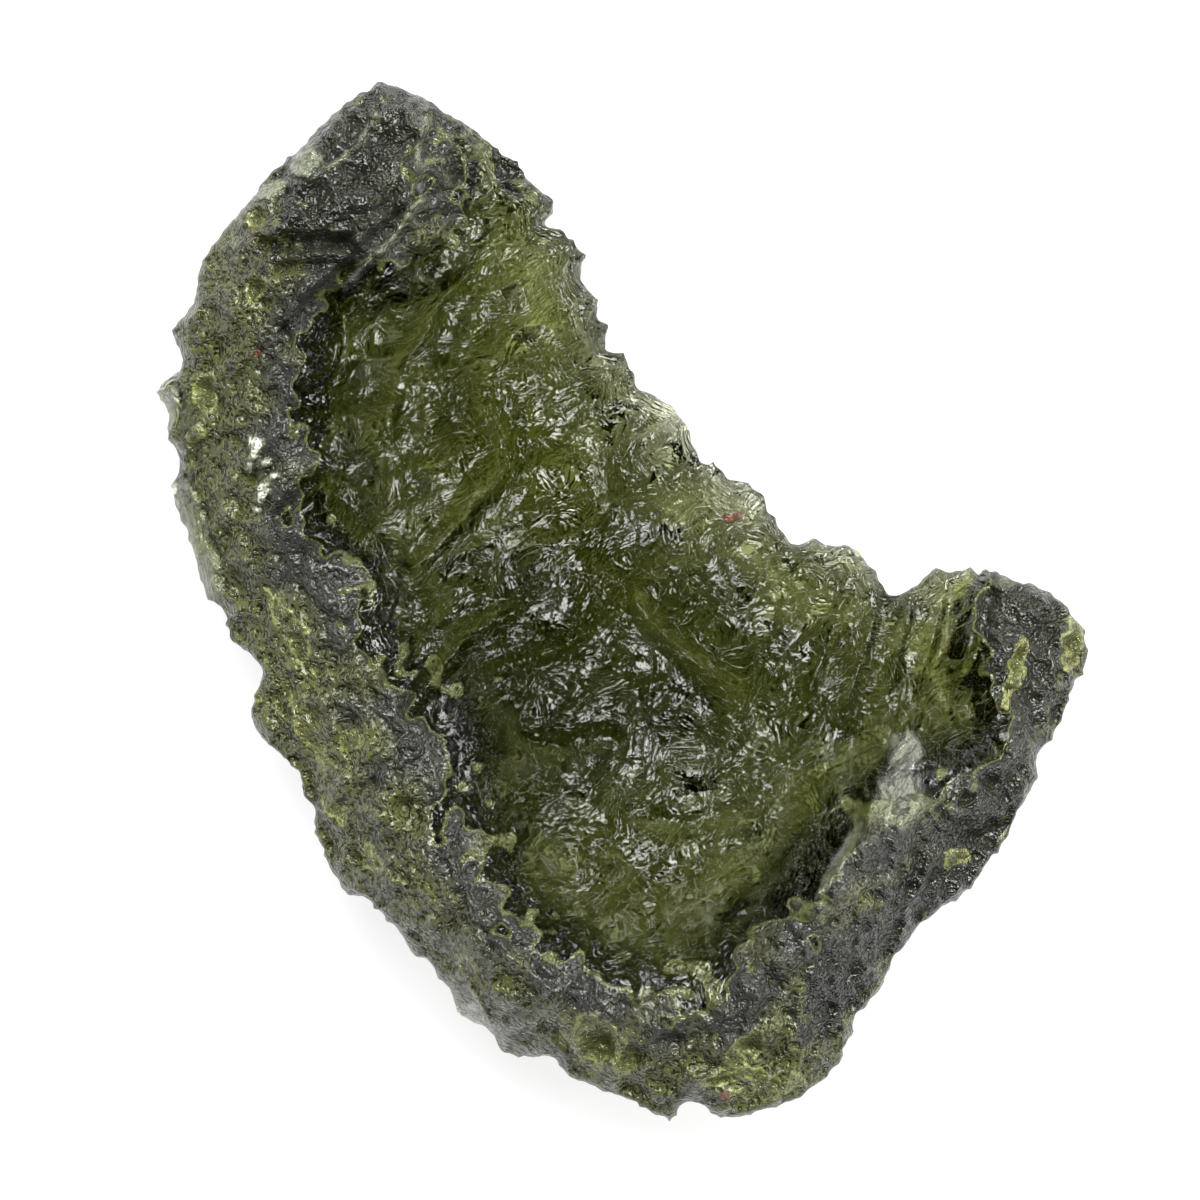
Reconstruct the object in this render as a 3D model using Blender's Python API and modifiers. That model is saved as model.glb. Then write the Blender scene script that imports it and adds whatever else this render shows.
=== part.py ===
"""A moldavite, a natural piece of green impact glass, modelled at its real size.

The stone is one solid: a broken bowl, about 43 mm long, lying with its hollow up. A high,
dull rim runs along its left side and foot, the glossy hollow falls away inside it, and the
hollow's upper right side thins out to a clear, chipped fringe. It rests on a small flat spot.

Places are x, y in millimetres, seen from above, with the origin over the middle of the
outline. Heights are z in millimetres above the surface that the stone lies on.
"""

import bpy
import numpy as np
from mathutils import Vector, noise

MM = 0.001

# The stone's edge as seen from above, clockwise from the tip, in named stretches.
TIP_SIDE = [
    (-9.8, 20.6), (-9.0, 20.4), (-8.0, 20.0), (-7.3, 19.5), (-6.5, 19.1), (-5.8, 18.6),
    (-5.0, 18.0), (-4.2, 17.5), (-4.0, 17.1), (-3.4, 16.4), (-2.8, 15.9), (-2.8, 15.4),
]
FRINGE = [
    (-3.2, 15.0), (-2.5, 14.8), (-2.0, 14.4), (-1.5, 13.8), (-1.7, 13.3), (-1.6, 12.6),
    (-1.0, 12.0), (-1.1, 11.4), (-0.6, 11.0), (-0.8, 10.0), (0.0, 9.9), (0.4, 9.1),
    (0.5, 8.5), (1.2, 8.2), (1.9, 7.8), (2.6, 7.0), (2.9, 6.0), (3.1, 5.5), (3.6, 5.6),
    (4.0, 5.1), (4.4, 4.8), (5.0, 4.7), (5.6, 4.2), (5.7, 3.8), (6.1, 3.3), (6.4, 2.7),
    (6.7, 2.2), (7.0, 2.2), (7.6, 2.5), (8.3, 2.2), (9.0, 2.2), (9.6, 1.7), (10.1, 1.2),
    (10.4, 0.6), (10.6, 0.2),
]
LOBE = [
    (11.2, 0.3), (12.0, 0.9), (12.5, 1.3), (13.3, 1.2), (13.9, 1.4), (14.2, 1.0),
    (14.4, 1.3), (14.9, 1.2), (15.4, 0.9), (16.2, 0.7), (17.1, 0.3), (17.8, -0.3),
    (18.4, -1.1), (18.6, -2.0), (18.4, -3.0), (18.0, -3.2), (17.8, -4.0), (17.5, -4.8),
]
RIGHT_WALL = [
    (17.1, -5.6), (16.6, -6.0), (16.4, -6.5), (16.5, -7.1), (16.2, -7.6), (15.6, -8.6),
    (15.3, -9.4), (14.9, -10.1), (14.4, -10.5), (14.1, -11.0), (13.8, -11.5), (13.2, -12.0),
    (12.8, -12.1), (12.0, -12.7), (11.2, -13.6), (10.4, -14.8), (10.1, -15.5), (9.6, -16.1),
    (9.1, -16.6), (9.1, -17.1), (8.8, -17.6), (8.5, -18.4),
]
FOOT = [
    (7.9, -19.0), (7.0, -19.7), (6.0, -20.1), (5.0, -20.4), (3.8, -20.5), (3.4, -20.3),
    (3.0, -19.9), (2.6, -19.8), (2.2, -20.0), (2.1, -20.4), (1.8, -20.7), (1.2, -20.4),
    (0.6, -20.1), (0.0, -19.7), (-0.8, -19.5), (-1.4, -19.2), (-2.0, -19.0), (-2.6, -18.5),
    (-3.0, -18.1), (-3.6, -18.2), (-4.2, -18.3), (-4.8, -18.1), (-5.1, -17.6),
]
LEFT_SIDE = [
    (-5.4, -17.2), (-6.0, -16.9), (-6.7, -16.4), (-6.9, -15.6), (-7.4, -15.1), (-7.8, -14.3),
    (-8.3, -14.2), (-8.6, -13.8), (-9.0, -13.1), (-9.5, -12.8), (-10.0, -12.3),
    (-10.2, -11.9), (-11.0, -11.8), (-11.3, -11.5), (-11.7, -10.8), (-12.0, -10.2),
    (-12.4, -9.3), (-12.3, -8.5), (-12.8, -7.8), (-12.9, -7.1), (-13.6, -6.3), (-14.2, -5.8),
    (-14.7, -5.2), (-14.9, -4.5), (-14.8, -3.8), (-14.5, -3.2), (-14.4, -2.9), (-14.8, -2.3),
    (-15.2, -2.0), (-15.8, -1.5), (-16.0, -1.0), (-16.0, -0.5), (-16.7, 0.0), (-17.0, 0.8),
    (-17.5, 2.4), (-18.0, 3.8), (-18.2, 4.6), (-17.8, 5.4), (-17.9, 6.0), (-18.3, 6.4),
    (-18.3, 6.9), (-18.2, 7.4), (-18.6, 8.0), (-18.8, 8.3), (-18.4, 8.8), (-17.7, 9.2),
]
SHOULDER = [
    (-17.6, 9.6), (-17.9, 10.2), (-18.1, 10.8), (-17.4, 11.5), (-17.1, 12.0), (-17.0, 12.8),
    (-16.8, 13.5), (-16.4, 14.1), (-15.9, 14.7), (-15.2, 15.5), (-14.7, 16.0), (-14.4, 16.5),
    (-14.0, 17.0), (-13.4, 17.6), (-12.8, 18.0), (-12.2, 18.7), (-11.6, 19.3), (-11.0, 19.8),
    (-10.4, 20.2),
]
OUTLINE = TIP_SIDE + FRINGE + LOBE + RIGHT_WALL + FOOT + LEFT_SIDE + SHOULDER

# Spots on the edge: x, y, the height of its middle and how thick the glass is there.
EDGE = [
    (-9.8, 20.6, 7.2, 2.0), (-6.5, 19.1, 6.9, 1.4), (-4.0, 17.1, 6.5, 1.2),
    (-2.8, 15.6, 6.2, 1.5), (-1.5, 13.8, 5.9, 1.4), (-0.8, 10.6, 5.7, 1.4),
    (0.4, 8.9, 5.5, 1.3), (2.6, 7.0, 5.3, 1.3), (4.0, 5.1, 5.1, 1.3), (6.1, 3.3, 4.9, 1.3),
    (9.0, 2.2, 4.7, 1.4), (10.6, 0.2, 4.5, 1.5), (12.5, 1.3, 4.8, 1.4), (14.9, 1.2, 5.2, 1.5),
    (17.1, 0.3, 5.2, 1.7), (18.6, -2.0, 5.0, 2.0), (17.5, -4.8, 5.1, 3.0),
    (16.4, -7.1, 5.4, 4.0), (14.4, -10.5, 5.8, 4.4), (11.2, -13.6, 6.4, 4.6),
    (9.1, -16.9, 7.0, 4.2), (7.0, -19.7, 7.6, 3.0), (3.8, -20.5, 7.8, 2.6),
    (0.6, -20.1, 7.4, 3.0), (-3.0, -18.1, 6.8, 3.0), (-6.0, -16.9, 5.8, 0.9),
    (-8.6, -13.8, 5.8, 3.2), (-11.3, -11.5, 5.4, 2.4), (-12.8, -7.8, 5.2, 2.8),
    (-14.9, -4.5, 5.0, 2.6), (-16.0, -0.8, 4.8, 1.8), (-17.5, 2.4, 4.6, 0.8),
    (-18.2, 4.6, 4.7, 0.9), (-18.8, 8.3, 5.0, 0.9), (-17.4, 11.5, 5.8, 2.8),
    (-15.9, 14.7, 6.6, 3.2), (-13.4, 17.6, 7.0, 2.8), (-11.6, 19.3, 7.2, 2.4),
]
# The rim's crest, from the tip down the left side, along the foot and up to the lobe.
CREST = [
    (-8.4, 19.6, 8.2), (-7.8, 17.8, 8.6), (-7.9, 16.0, 9.0), (-9.6, 14.4, 9.6),
    (-11.2, 12.8, 9.8), (-12.8, 11.0, 9.8), (-13.1, 8.4, 9.5), (-13.3, 5.6, 9.1),
    (-13.1, 3.2, 9.0), (-12.0, 1.2, 9.1), (-10.6, -0.8, 9.2), (-9.6, -3.0, 9.5),
    (-8.4, -5.6, 9.9), (-7.3, -8.4, 10.3), (-6.4, -10.8, 10.8), (-4.4, -13.2, 11.3),
    (-1.8, -15.0, 11.7), (1.0, -16.2, 12.0), (3.6, -16.2, 12.3), (5.6, -14.8, 12.5),
    (7.2, -12.2, 12.5), (9.0, -10.0, 12.0), (11.0, -8.6, 11.0), (13.4, -7.4, 9.8),
    (15.0, -5.6, 8.8), (15.2, -3.4, 8.0), (14.9, -1.2, 7.3), (14.8, 0.4, 6.4),
]
# The outer edge of the rim's top, where the outer wall begins to fall away.
BROW = [
    (-10.6, 19.0, 8.8), (-12.4, 17.0, 10.2), (-14.4, 14.6, 10.2), (-15.2, 11.6, 9.4),
    (-16.0, 8.4, 7.8), (-15.8, 5.2, 7.5), (-15.0, 2.0, 7.6), (-13.5, -0.8, 8.0),
    (-12.2, -3.4, 8.3), (-11.2, -6.6, 8.8), (-10.0, -9.6, 9.2), (-8.0, -12.8, 9.6),
    (-5.2, -15.6, 10.2), (-1.6, -17.4, 10.7), (2.0, -18.6, 10.8), (5.4, -18.2, 11.0),
    (7.4, -15.8, 11.2), (9.6, -13.0, 10.6), (12.0, -11.0, 9.4), (14.2, -8.8, 8.2),
    (16.2, -6.0, 7.4), (17.0, -3.4, 6.9), (16.4, -1.2, 6.8),
]
# The floor of the hollow, which reaches a little way up the rim's inner side.
HOLLOW = [
    (-5.4, 17.2, 7.2), (-5.8, 13.6, 6.9), (-4.2, 10.8, 6.3), (-9.0, 8.8, 7.9),
    (-9.4, 5.2, 7.9), (-5.8, 5.2, 6.5), (-1.4, 6.0, 5.7), (-9.0, 2.0, 7.8), (-2.6, 1.6, 5.7),
    (0.6, -0.8, 5.3), (-7.0, -1.2, 7.5), (-3.8, -4.8, 6.7), (0.6, -5.6, 5.9),
    (4.6, -4.0, 5.2), (4.6, 0.0, 5.2), (8.2, -0.8, 5.3), (8.6, -3.8, 5.7), (5.4, -7.2, 6.4),
    (1.4, -9.4, 7.4), (-2.6, -9.2, 8.0), (-2.2, -12.0, 9.5), (2.2, -12.8, 9.8),
    (5.0, -10.4, 8.2), (7.4, -7.6, 7.4), (10.6, -4.8, 6.6), (11.4, -1.6, 5.9),
    (13.0, -4.8, 7.0), (13.0, -0.4, 6.0),
]
# The underside, a shallow keel that is deepest under the stone's middle.
KEEL = [
    (-2.4, -2.6, -0.2), (-6.5, 3.5, 1.4), (2.0, -7.5, 1.3), (-10.0, 8.5, 3.6),
    (-9.5, 14.5, 4.0), (-5.5, 14.5, 3.9), (-4.5, 9.5, 2.6), (-14.0, 4.0, 4.0),
    (-15.2, 9.5, 4.3), (-11.5, -2.5, 3.9), (-8.5, -9.0, 4.8), (-3.5, -12.5, 6.0),
    (1.5, -16.0, 6.8), (6.0, -15.5, 6.7), (2.0, -12.0, 6.2), (7.0, -11.5, 5.6),
    (8.5, -8.0, 3.8), (12.5, -6.5, 3.8), (-6.0, -5.5, 2.0),
    (15.0, -3.0, 3.2), (9.5, -3.0, 1.3), (5.0, -1.0, 1.3), (1.0, 3.0, 1.7), (-2.0, 8.0, 2.8),
]
# The low boss that the stone rests on: its middle, its radius and how far it stands out.
FOOT_BOSS = (-2.4, -2.6, 4.2, 1.2)
LEAST_THICKNESS = 0.3
CREST_LIFT, CREST_WIDTH = 0.5, 0.9

# Furrows in the hollow: their depth, their width and the line that each follows.
FURROWS = [
    (0.9, 0.55, [(-5.6, 7.6), (-4.9, 6.6), (-4.9, 5.4), (-5.4, 4.3)]),
    (0.7, 0.55, [(-8.2, 1.4), (-7.6, 2.0), (-6.4, 3.3), (-5.9, 4.4)]),
    (0.7, 0.50, [(-8.5, -4.3), (-7.3, -2.7), (-6.1, -1.4), (-4.4, -0.4)]),
    (0.5, 0.40, [(-5.1, -2.8), (-3.0, -2.1), (-1.6, -1.3)]),
    (0.9, 0.50, [(0.5, -0.1), (1.4, -1.2), (2.3, -2.0), (3.4, -3.0), (4.8, -3.6)]),
    (0.5, 0.40, [(-4.1, -5.5), (-2.6, -5.8), (-0.6, -5.4)]),
    (0.5, 0.40, [(0.4, -8.6), (2.4, -9.0), (4.4, -8.4)]),
    (0.6, 0.45, [(-13.8, 3.2), (-12.4, 4.4), (-11.6, 4.8)]),
    (0.7, 0.45, [(-14.2, 14.0), (-12.4, 14.0), (-11.0, 14.1)]),
    (0.6, 0.45, [(13.2, 0.6), (12.8, -1.6), (12.6, -3.8)]),
    (0.6, 0.45, [(14.6, 0.2), (14.0, -2.6), (13.8, -4.6)]),
    (0.5, 0.50, [(9.6, -4.2), (9.2, -6.4), (8.8, -8.8)]),
]
# Round pits in the rim: x, y, radius and depth.
PITS = [
    (-1.1, -17.4, 1.15, 1.3), (0.3, -18.0, 0.7, 0.9), (5.0, -17.5, 0.8, 1.0),
    (2.0, -17.4, 0.6, 0.6), (14.4, -7.1, 0.6, 0.8), (13.5, -7.9, 0.5, 0.6),
    (-14.5, 12.3, 0.5, 0.7), (-16.7, 8.4, 0.6, 0.9), (-14.5, 15.0, 0.6, 0.6),
    (-14.8, 4.9, 0.6, 0.8), (-8.8, -8.2, 0.6, 0.6), (-6.5, -11.5, 0.4, 0.5),
    (11.2, -11.4, 0.6, 0.6), (-10.6, -10.2, 0.6, 0.6),
]
# Ledges: how high, how far the raised side reaches back, and the line of the foot, with
# the raised side on the line's left.
LEDGES = [
    (0.9, 1.6, [(-12.6, 11.6), (-10.9, 13.2), (-9.7, 14.5), (-8.0, 16.0), (-7.8, 19.2)]),
    (1.2, 1.2, [(10.9, -5.3), (9.8, -6.7), (9.4, -7.8), (9.0, -9.2), (7.6, -11.0)]),
]

# Grain of the plate that the stone is moulded from, and of the finished solid.
PLATE_THICKNESS, PLATE_GRAIN = 2.0, 0.3
SOLID_TRIANGLES = 8600

GLASS_COLOUR = (0.075, 0.10, 0.03, 1.0)


def clear_scene():
    for old in list(bpy.data.objects):
        bpy.data.objects.remove(old, do_unlink=True)


def named_collection(name):
    made = bpy.data.collections.new(name)
    bpy.context.scene.collection.children.link(made)
    return made


def smooth_step(x):
    x = np.clip(x, 0.0, 1.0)
    return x * x * (3.0 - 2.0 * x)


def surface_through(spots):
    """A smooth sheet through spots (x, y, z), as a function of points (n, 2)."""
    spots = np.array(spots, float)
    places, heights = spots[:, :2], spots[:, 2]
    count = len(spots)

    def bending(points):
        squared = ((points[:, None, :] - places[None, :, :]) ** 2).sum(axis=2)
        return 0.5 * squared * np.log(squared + 1e-9)

    system = np.zeros((count + 3, count + 3))
    system[:count, :count] = bending(places)
    system[:count, count] = system[count, :count] = 1.0
    system[:count, count + 1:] = places
    system[count + 1:, :count] = places.T
    weights = np.linalg.solve(system, np.append(heights, (0.0, 0.0, 0.0)))

    def height(points):
        tilt = weights[count] + points @ weights[count + 1:]
        return bending(points) @ weights[:count] + tilt

    return height


def nearest_on_line(points, line, closed=False):
    """Distance from points (n, 2) to a broken line, and which side each lies on."""
    corners = np.array([spot[:2] for spot in line], float)
    starts = corners if closed else corners[:-1]
    ends = np.roll(corners, -1, axis=0) if closed else corners[1:]
    best = np.full(len(points), np.inf)
    side = np.zeros(len(points))
    for start, end in zip(starts, ends):
        along = end - start
        away = points - start
        share = np.clip(away @ along / (along @ along), 0.0, 1.0)
        gap = np.linalg.norm(away - share[:, None] * along, axis=1)
        nearer = gap < best
        cross = along[0] * away[:, 1] - along[1] * away[:, 0]
        side = np.where(nearer, np.sign(cross), side)
        best = np.minimum(best, gap)
    return best, side


def lumps(points, size, seed):
    """Rolling noise from about -1 to 1 at points (n, 3), with lumps of the given size."""
    shift = Vector((seed, 2.0 * seed, 3.0 * seed))
    return np.array([noise.noise(Vector(p) / size + shift) for p in points]) * 2.0


def ridges(points, size, seed):
    """Sharp-backed ridges, 0 in the valleys and 1 on the backs."""
    return 1.0 - np.abs(lumps(points, size, seed)).clip(0.0, 1.0)


def plate():
    """A flat plate of the stone's outline, which the moulding then gives its heights."""
    curve = bpy.data.curves.new("stone_outline", "CURVE")
    curve.dimensions = "2D"
    curve.fill_mode = "BOTH"
    curve.extrude = PLATE_THICKNESS / 2
    spline = curve.splines.new("POLY")
    spline.points.add(len(OUTLINE) - 1)
    for point, (x, y) in zip(spline.points, OUTLINE):
        point.co = (x, y, 0.0, 1.0)
    spline.use_cyclic_u = True
    outline = bpy.data.objects.new("stone_outline", curve)
    bpy.context.scene.collection.objects.link(outline)
    remesh = outline.modifiers.new("even_grain", "REMESH")
    remesh.mode = "VOXEL"
    remesh.voxel_size = PLATE_GRAIN
    graph = bpy.context.evaluated_depsgraph_get()
    mesh = bpy.data.meshes.new_from_object(outline.evaluated_get(graph))
    bpy.data.objects.remove(outline)
    bpy.data.curves.remove(curve)
    return mesh


def upper_surface(points, depth_in):
    """Height of the side that faces up: the rim, the hollow and what is cut into them."""
    rim = [(x, y, z + thick / 2) for x, y, z, thick in EDGE]
    height = surface_through(rim + CREST + BROW + HOLLOW)(points)
    from_crest, _ = nearest_on_line(points, CREST)
    height += CREST_LIFT * np.exp(-((from_crest / CREST_WIDTH) ** 2))
    away_from_edge = smooth_step(depth_in / 1.2)
    for depth, width, line in FURROWS:
        gap, _ = nearest_on_line(points, line)
        height -= depth * np.exp(-((gap / width) ** 2)) * away_from_edge
    for high, reach, line in LEDGES:
        gap, side = nearest_on_line(points, line)
        raised = smooth_step(gap / 0.35) * np.exp(-gap / reach)
        height += high * np.where(side > 0, raised, 0.0) * away_from_edge
    for x, y, radius, depth in PITS:
        gap = np.hypot(points[:, 0] - x, points[:, 1] - y) / radius
        height -= depth * (1.0 - smooth_step(gap))
    return height


def lower_surface(points):
    """Height of the underside before its sculpture."""
    rim = [(x, y, z - thick / 2) for x, y, z, thick in EDGE]
    x, y, radius, drop = FOOT_BOSS
    gap = np.hypot(points[:, 0] - x, points[:, 1] - y) / radius
    return surface_through(rim + KEEL)(points) - drop * np.exp(-gap ** 4)


def mould(mesh):
    """Moves the plate's points to the stone's real heights and adds its lumps and flutes."""
    count = len(mesh.vertices)
    flat = np.empty(count * 3, np.float32)
    mesh.vertices.foreach_get("co", flat)
    flat = flat.reshape(-1, 3).astype(float)
    points = flat[:, :2]
    share = np.clip(flat[:, 2] / PLATE_THICKNESS + 0.5, 0.0, 1.0)
    depth_in, _ = nearest_on_line(points, OUTLINE, closed=True)
    top = upper_surface(points, depth_in)
    bottom = lower_surface(points)
    inside = smooth_step(depth_in / 1.5)
    level = np.column_stack((points, np.zeros(count)))
    top += inside * (0.30 * lumps(level, 2.2, 5.0) + 0.25 * (ridges(level, 1.5, 9.0) - 0.6))
    sculpture = 0.8 * (0.7 - ridges(level, 4.2, 3.0)) + 0.35 * lumps(level, 1.8, 7.0)
    x, y, radius, _ = FOOT_BOSS
    from_boss = smooth_step(np.hypot(points[:, 0] - x, points[:, 1] - y) / radius - 0.7)
    bottom += inside * from_boss * sculpture
    bottom = np.minimum(bottom, top - LEAST_THICKNESS)
    moulded = np.column_stack((points, bottom + share * (top - bottom))) * MM
    mesh.vertices.foreach_set("co", moulded.astype(np.float32).ravel())
    mesh.update()


def glass():
    material = bpy.data.materials.new("moldavite_glass")
    material.use_nodes = True
    shader = material.node_tree.nodes["Principled BSDF"]
    shader.inputs["Base Color"].default_value = GLASS_COLOUR
    shader.inputs["Roughness"].default_value = 0.3
    shader.inputs["Metallic"].default_value = 0.0
    return material


def ground(collection):
    """A block whose top is the resting plane, which cuts the stone's small flat spot."""
    block_height = 4.0 * MM
    bpy.ops.mesh.primitive_cube_add(size=1.0, location=(0.0, 0.0, -block_height / 2))
    block = bpy.context.active_object
    block.name = "resting_plane"
    block.scale = (0.08, 0.08, block_height)
    bpy.ops.object.transform_apply(location=False, rotation=False, scale=True)
    for owner in list(block.users_collection):
        owner.objects.unlink(block)
    collection.objects.link(block)
    block.hide_render = True
    block.display_type = "WIRE"
    return block


def stone(collection, resting_plane):
    mesh = plate()
    mould(mesh)
    body = bpy.data.objects.new("moldavite", mesh)
    collection.objects.link(body)
    body.data.materials.append(glass())
    mesh.calc_loop_triangles()
    thin = body.modifiers.new("fewer_faces", "DECIMATE")
    thin.ratio = SOLID_TRIANGLES / len(mesh.loop_triangles)
    flat = body.modifiers.new("flat_spot", "BOOLEAN")
    flat.operation = "DIFFERENCE"
    flat.solver = "EXACT"
    flat.object = resting_plane
    return body


def main():
    clear_scene()
    stone(named_collection("moldavite_stone"), ground(named_collection("cutters")))


main()
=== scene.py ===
# %% [markdown]
# # A moldavite
#
# Moldavite is green glass that an asteroid splashed over Bohemia. This stone is a broken
# bowl of it, 41 mm long and 37 mm wide, lying with its hollow up. The lesson models it as
# one closed mesh, carves it with functions of place, and lets the physics of glass give the
# colour. It starts by loading the solid model, whose box the finished stone has to keep to.

# %% Load the frame
import math

import bpy
import numpy as np
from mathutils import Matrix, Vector, noise


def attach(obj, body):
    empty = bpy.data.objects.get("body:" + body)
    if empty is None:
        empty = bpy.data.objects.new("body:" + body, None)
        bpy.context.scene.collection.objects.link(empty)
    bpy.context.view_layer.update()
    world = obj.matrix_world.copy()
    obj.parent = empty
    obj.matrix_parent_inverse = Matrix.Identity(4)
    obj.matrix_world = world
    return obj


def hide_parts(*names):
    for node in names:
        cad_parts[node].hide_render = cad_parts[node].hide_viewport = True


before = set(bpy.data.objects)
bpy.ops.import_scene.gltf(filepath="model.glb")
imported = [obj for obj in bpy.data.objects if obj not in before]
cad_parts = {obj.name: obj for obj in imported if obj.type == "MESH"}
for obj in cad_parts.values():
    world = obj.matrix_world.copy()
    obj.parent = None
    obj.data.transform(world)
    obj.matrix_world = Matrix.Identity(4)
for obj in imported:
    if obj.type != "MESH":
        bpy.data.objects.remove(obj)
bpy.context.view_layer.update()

# %% [markdown]
# ## The outline
#
# Seen from above the real stone is a fat crescent. Its edge could be a smooth curve, but
# chipped glass has notches, slits and scallops, so the outline is a run of given points, one
# for each turn of the edge. They go clockwise from the tip, in millimetres.

# %% The stone's edge, seen from above
MM = 0.001

TIP_SIDE = [
    (-9.8, 20.6), (-9.0, 20.4), (-8.0, 20.0), (-7.3, 19.5), (-6.5, 19.1), (-5.8, 18.6),
    (-5.0, 18.0), (-4.2, 17.5), (-4.0, 17.1), (-3.4, 16.4), (-2.8, 15.9), (-2.8, 15.4),
]
FRINGE = [
    (-3.2, 15.0), (-2.5, 14.8), (-2.0, 14.4), (-1.5, 13.8), (-1.7, 13.3), (-1.6, 12.6),
    (-1.0, 12.0), (-1.1, 11.4), (-0.6, 11.0), (-0.8, 10.0), (0.0, 9.9), (0.4, 9.1),
    (0.5, 8.5), (1.2, 8.2), (1.9, 7.8), (2.6, 7.0), (2.9, 6.0), (3.1, 5.5), (3.6, 5.6),
    (4.0, 5.1), (4.4, 4.8), (5.0, 4.7), (5.6, 4.2), (5.7, 3.8), (6.1, 3.3), (6.4, 2.7),
    (6.7, 2.2), (7.0, 2.2), (7.6, 2.5), (8.3, 2.2), (9.0, 2.2), (9.6, 1.7), (10.1, 1.2),
    (10.4, 0.6), (10.6, 0.2),
]
LOBE = [
    (11.2, 0.3), (12.0, 0.9), (12.5, 1.3), (13.3, 1.2), (13.9, 1.4), (14.2, 1.0),
    (14.4, 1.3), (14.9, 1.2), (15.4, 0.9), (16.2, 0.7), (17.1, 0.3), (17.8, -0.3),
    (18.4, -1.1), (18.6, -2.0), (18.4, -3.0), (18.0, -3.2), (17.8, -4.0), (17.5, -4.8),
]
RIGHT_WALL = [
    (17.1, -5.6), (16.6, -6.0), (16.4, -6.5), (16.5, -7.1), (16.2, -7.6), (15.6, -8.6),
    (15.3, -9.4), (14.9, -10.1), (14.4, -10.5), (14.1, -11.0), (13.8, -11.5), (13.2, -12.0),
    (12.8, -12.1), (12.0, -12.7), (11.2, -13.6), (10.4, -14.8), (10.1, -15.5), (9.6, -16.1),
    (9.1, -16.6), (9.1, -17.1), (8.8, -17.6), (8.5, -18.4),
]
FOOT = [
    (7.9, -19.0), (7.0, -19.7), (6.0, -20.1), (5.0, -20.4), (3.8, -20.5), (3.4, -20.3),
    (3.0, -19.9), (2.6, -19.8), (2.2, -20.0), (2.1, -20.4), (1.8, -20.7), (1.2, -20.4),
    (0.6, -20.1), (0.0, -19.7), (-0.8, -19.5), (-1.4, -19.2), (-2.0, -19.0), (-2.6, -18.5),
    (-3.0, -18.1), (-3.6, -18.2), (-4.2, -18.3), (-4.8, -18.1), (-5.1, -17.6),
]
LEFT_SIDE = [
    (-5.4, -17.2), (-6.0, -16.9), (-6.7, -16.4), (-6.9, -15.6), (-7.4, -15.1), (-7.8, -14.3),
    (-8.3, -14.2), (-8.6, -13.8), (-9.0, -13.1), (-9.5, -12.8), (-10.0, -12.3),
    (-10.2, -11.9), (-11.0, -11.8), (-11.3, -11.5), (-11.7, -10.8), (-12.0, -10.2),
    (-12.4, -9.3), (-12.3, -8.5), (-12.8, -7.8), (-12.9, -7.1), (-13.6, -6.3), (-14.2, -5.8),
    (-14.7, -5.2), (-14.9, -4.5), (-14.8, -3.8), (-14.5, -3.2), (-14.4, -2.9), (-14.8, -2.3),
    (-15.2, -2.0), (-15.8, -1.5), (-16.0, -1.0), (-16.0, -0.5), (-16.7, 0.0), (-17.0, 0.8),
    (-17.5, 2.4), (-18.0, 3.8), (-18.2, 4.6), (-17.8, 5.4), (-17.9, 6.0), (-18.3, 6.4),
    (-18.3, 6.9), (-18.2, 7.4), (-18.6, 8.0), (-18.8, 8.3), (-18.4, 8.8), (-17.7, 9.2),
]
SHOULDER = [
    (-17.6, 9.6), (-17.9, 10.2), (-18.1, 10.8), (-17.4, 11.5), (-17.1, 12.0), (-17.0, 12.8),
    (-16.8, 13.5), (-16.4, 14.1), (-15.9, 14.7), (-15.2, 15.5), (-14.7, 16.0), (-14.4, 16.5),
    (-14.0, 17.0), (-13.4, 17.6), (-12.8, 18.0), (-12.2, 18.7), (-11.6, 19.3), (-11.0, 19.8),
    (-10.4, 20.2),
]
OUTLINE = TIP_SIDE + FRINGE + LOBE + RIGHT_WALL + FOOT + LEFT_SIDE + SHOULDER
print("the edge has", len(OUTLINE), "turns")

# %% [markdown]
# ## Spot heights
#
# The stone is a bowl: a high dull rim round its left side and foot, a glossy hollow, and a
# thin clear fringe where the bowl broke. A sculptor would push clay around, or model it with
# subdivision surfaces. Here about 140 spots say how high the stone is at places that have a
# name. That is easy to change: to make the hollow deeper, lower its spots.

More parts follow.
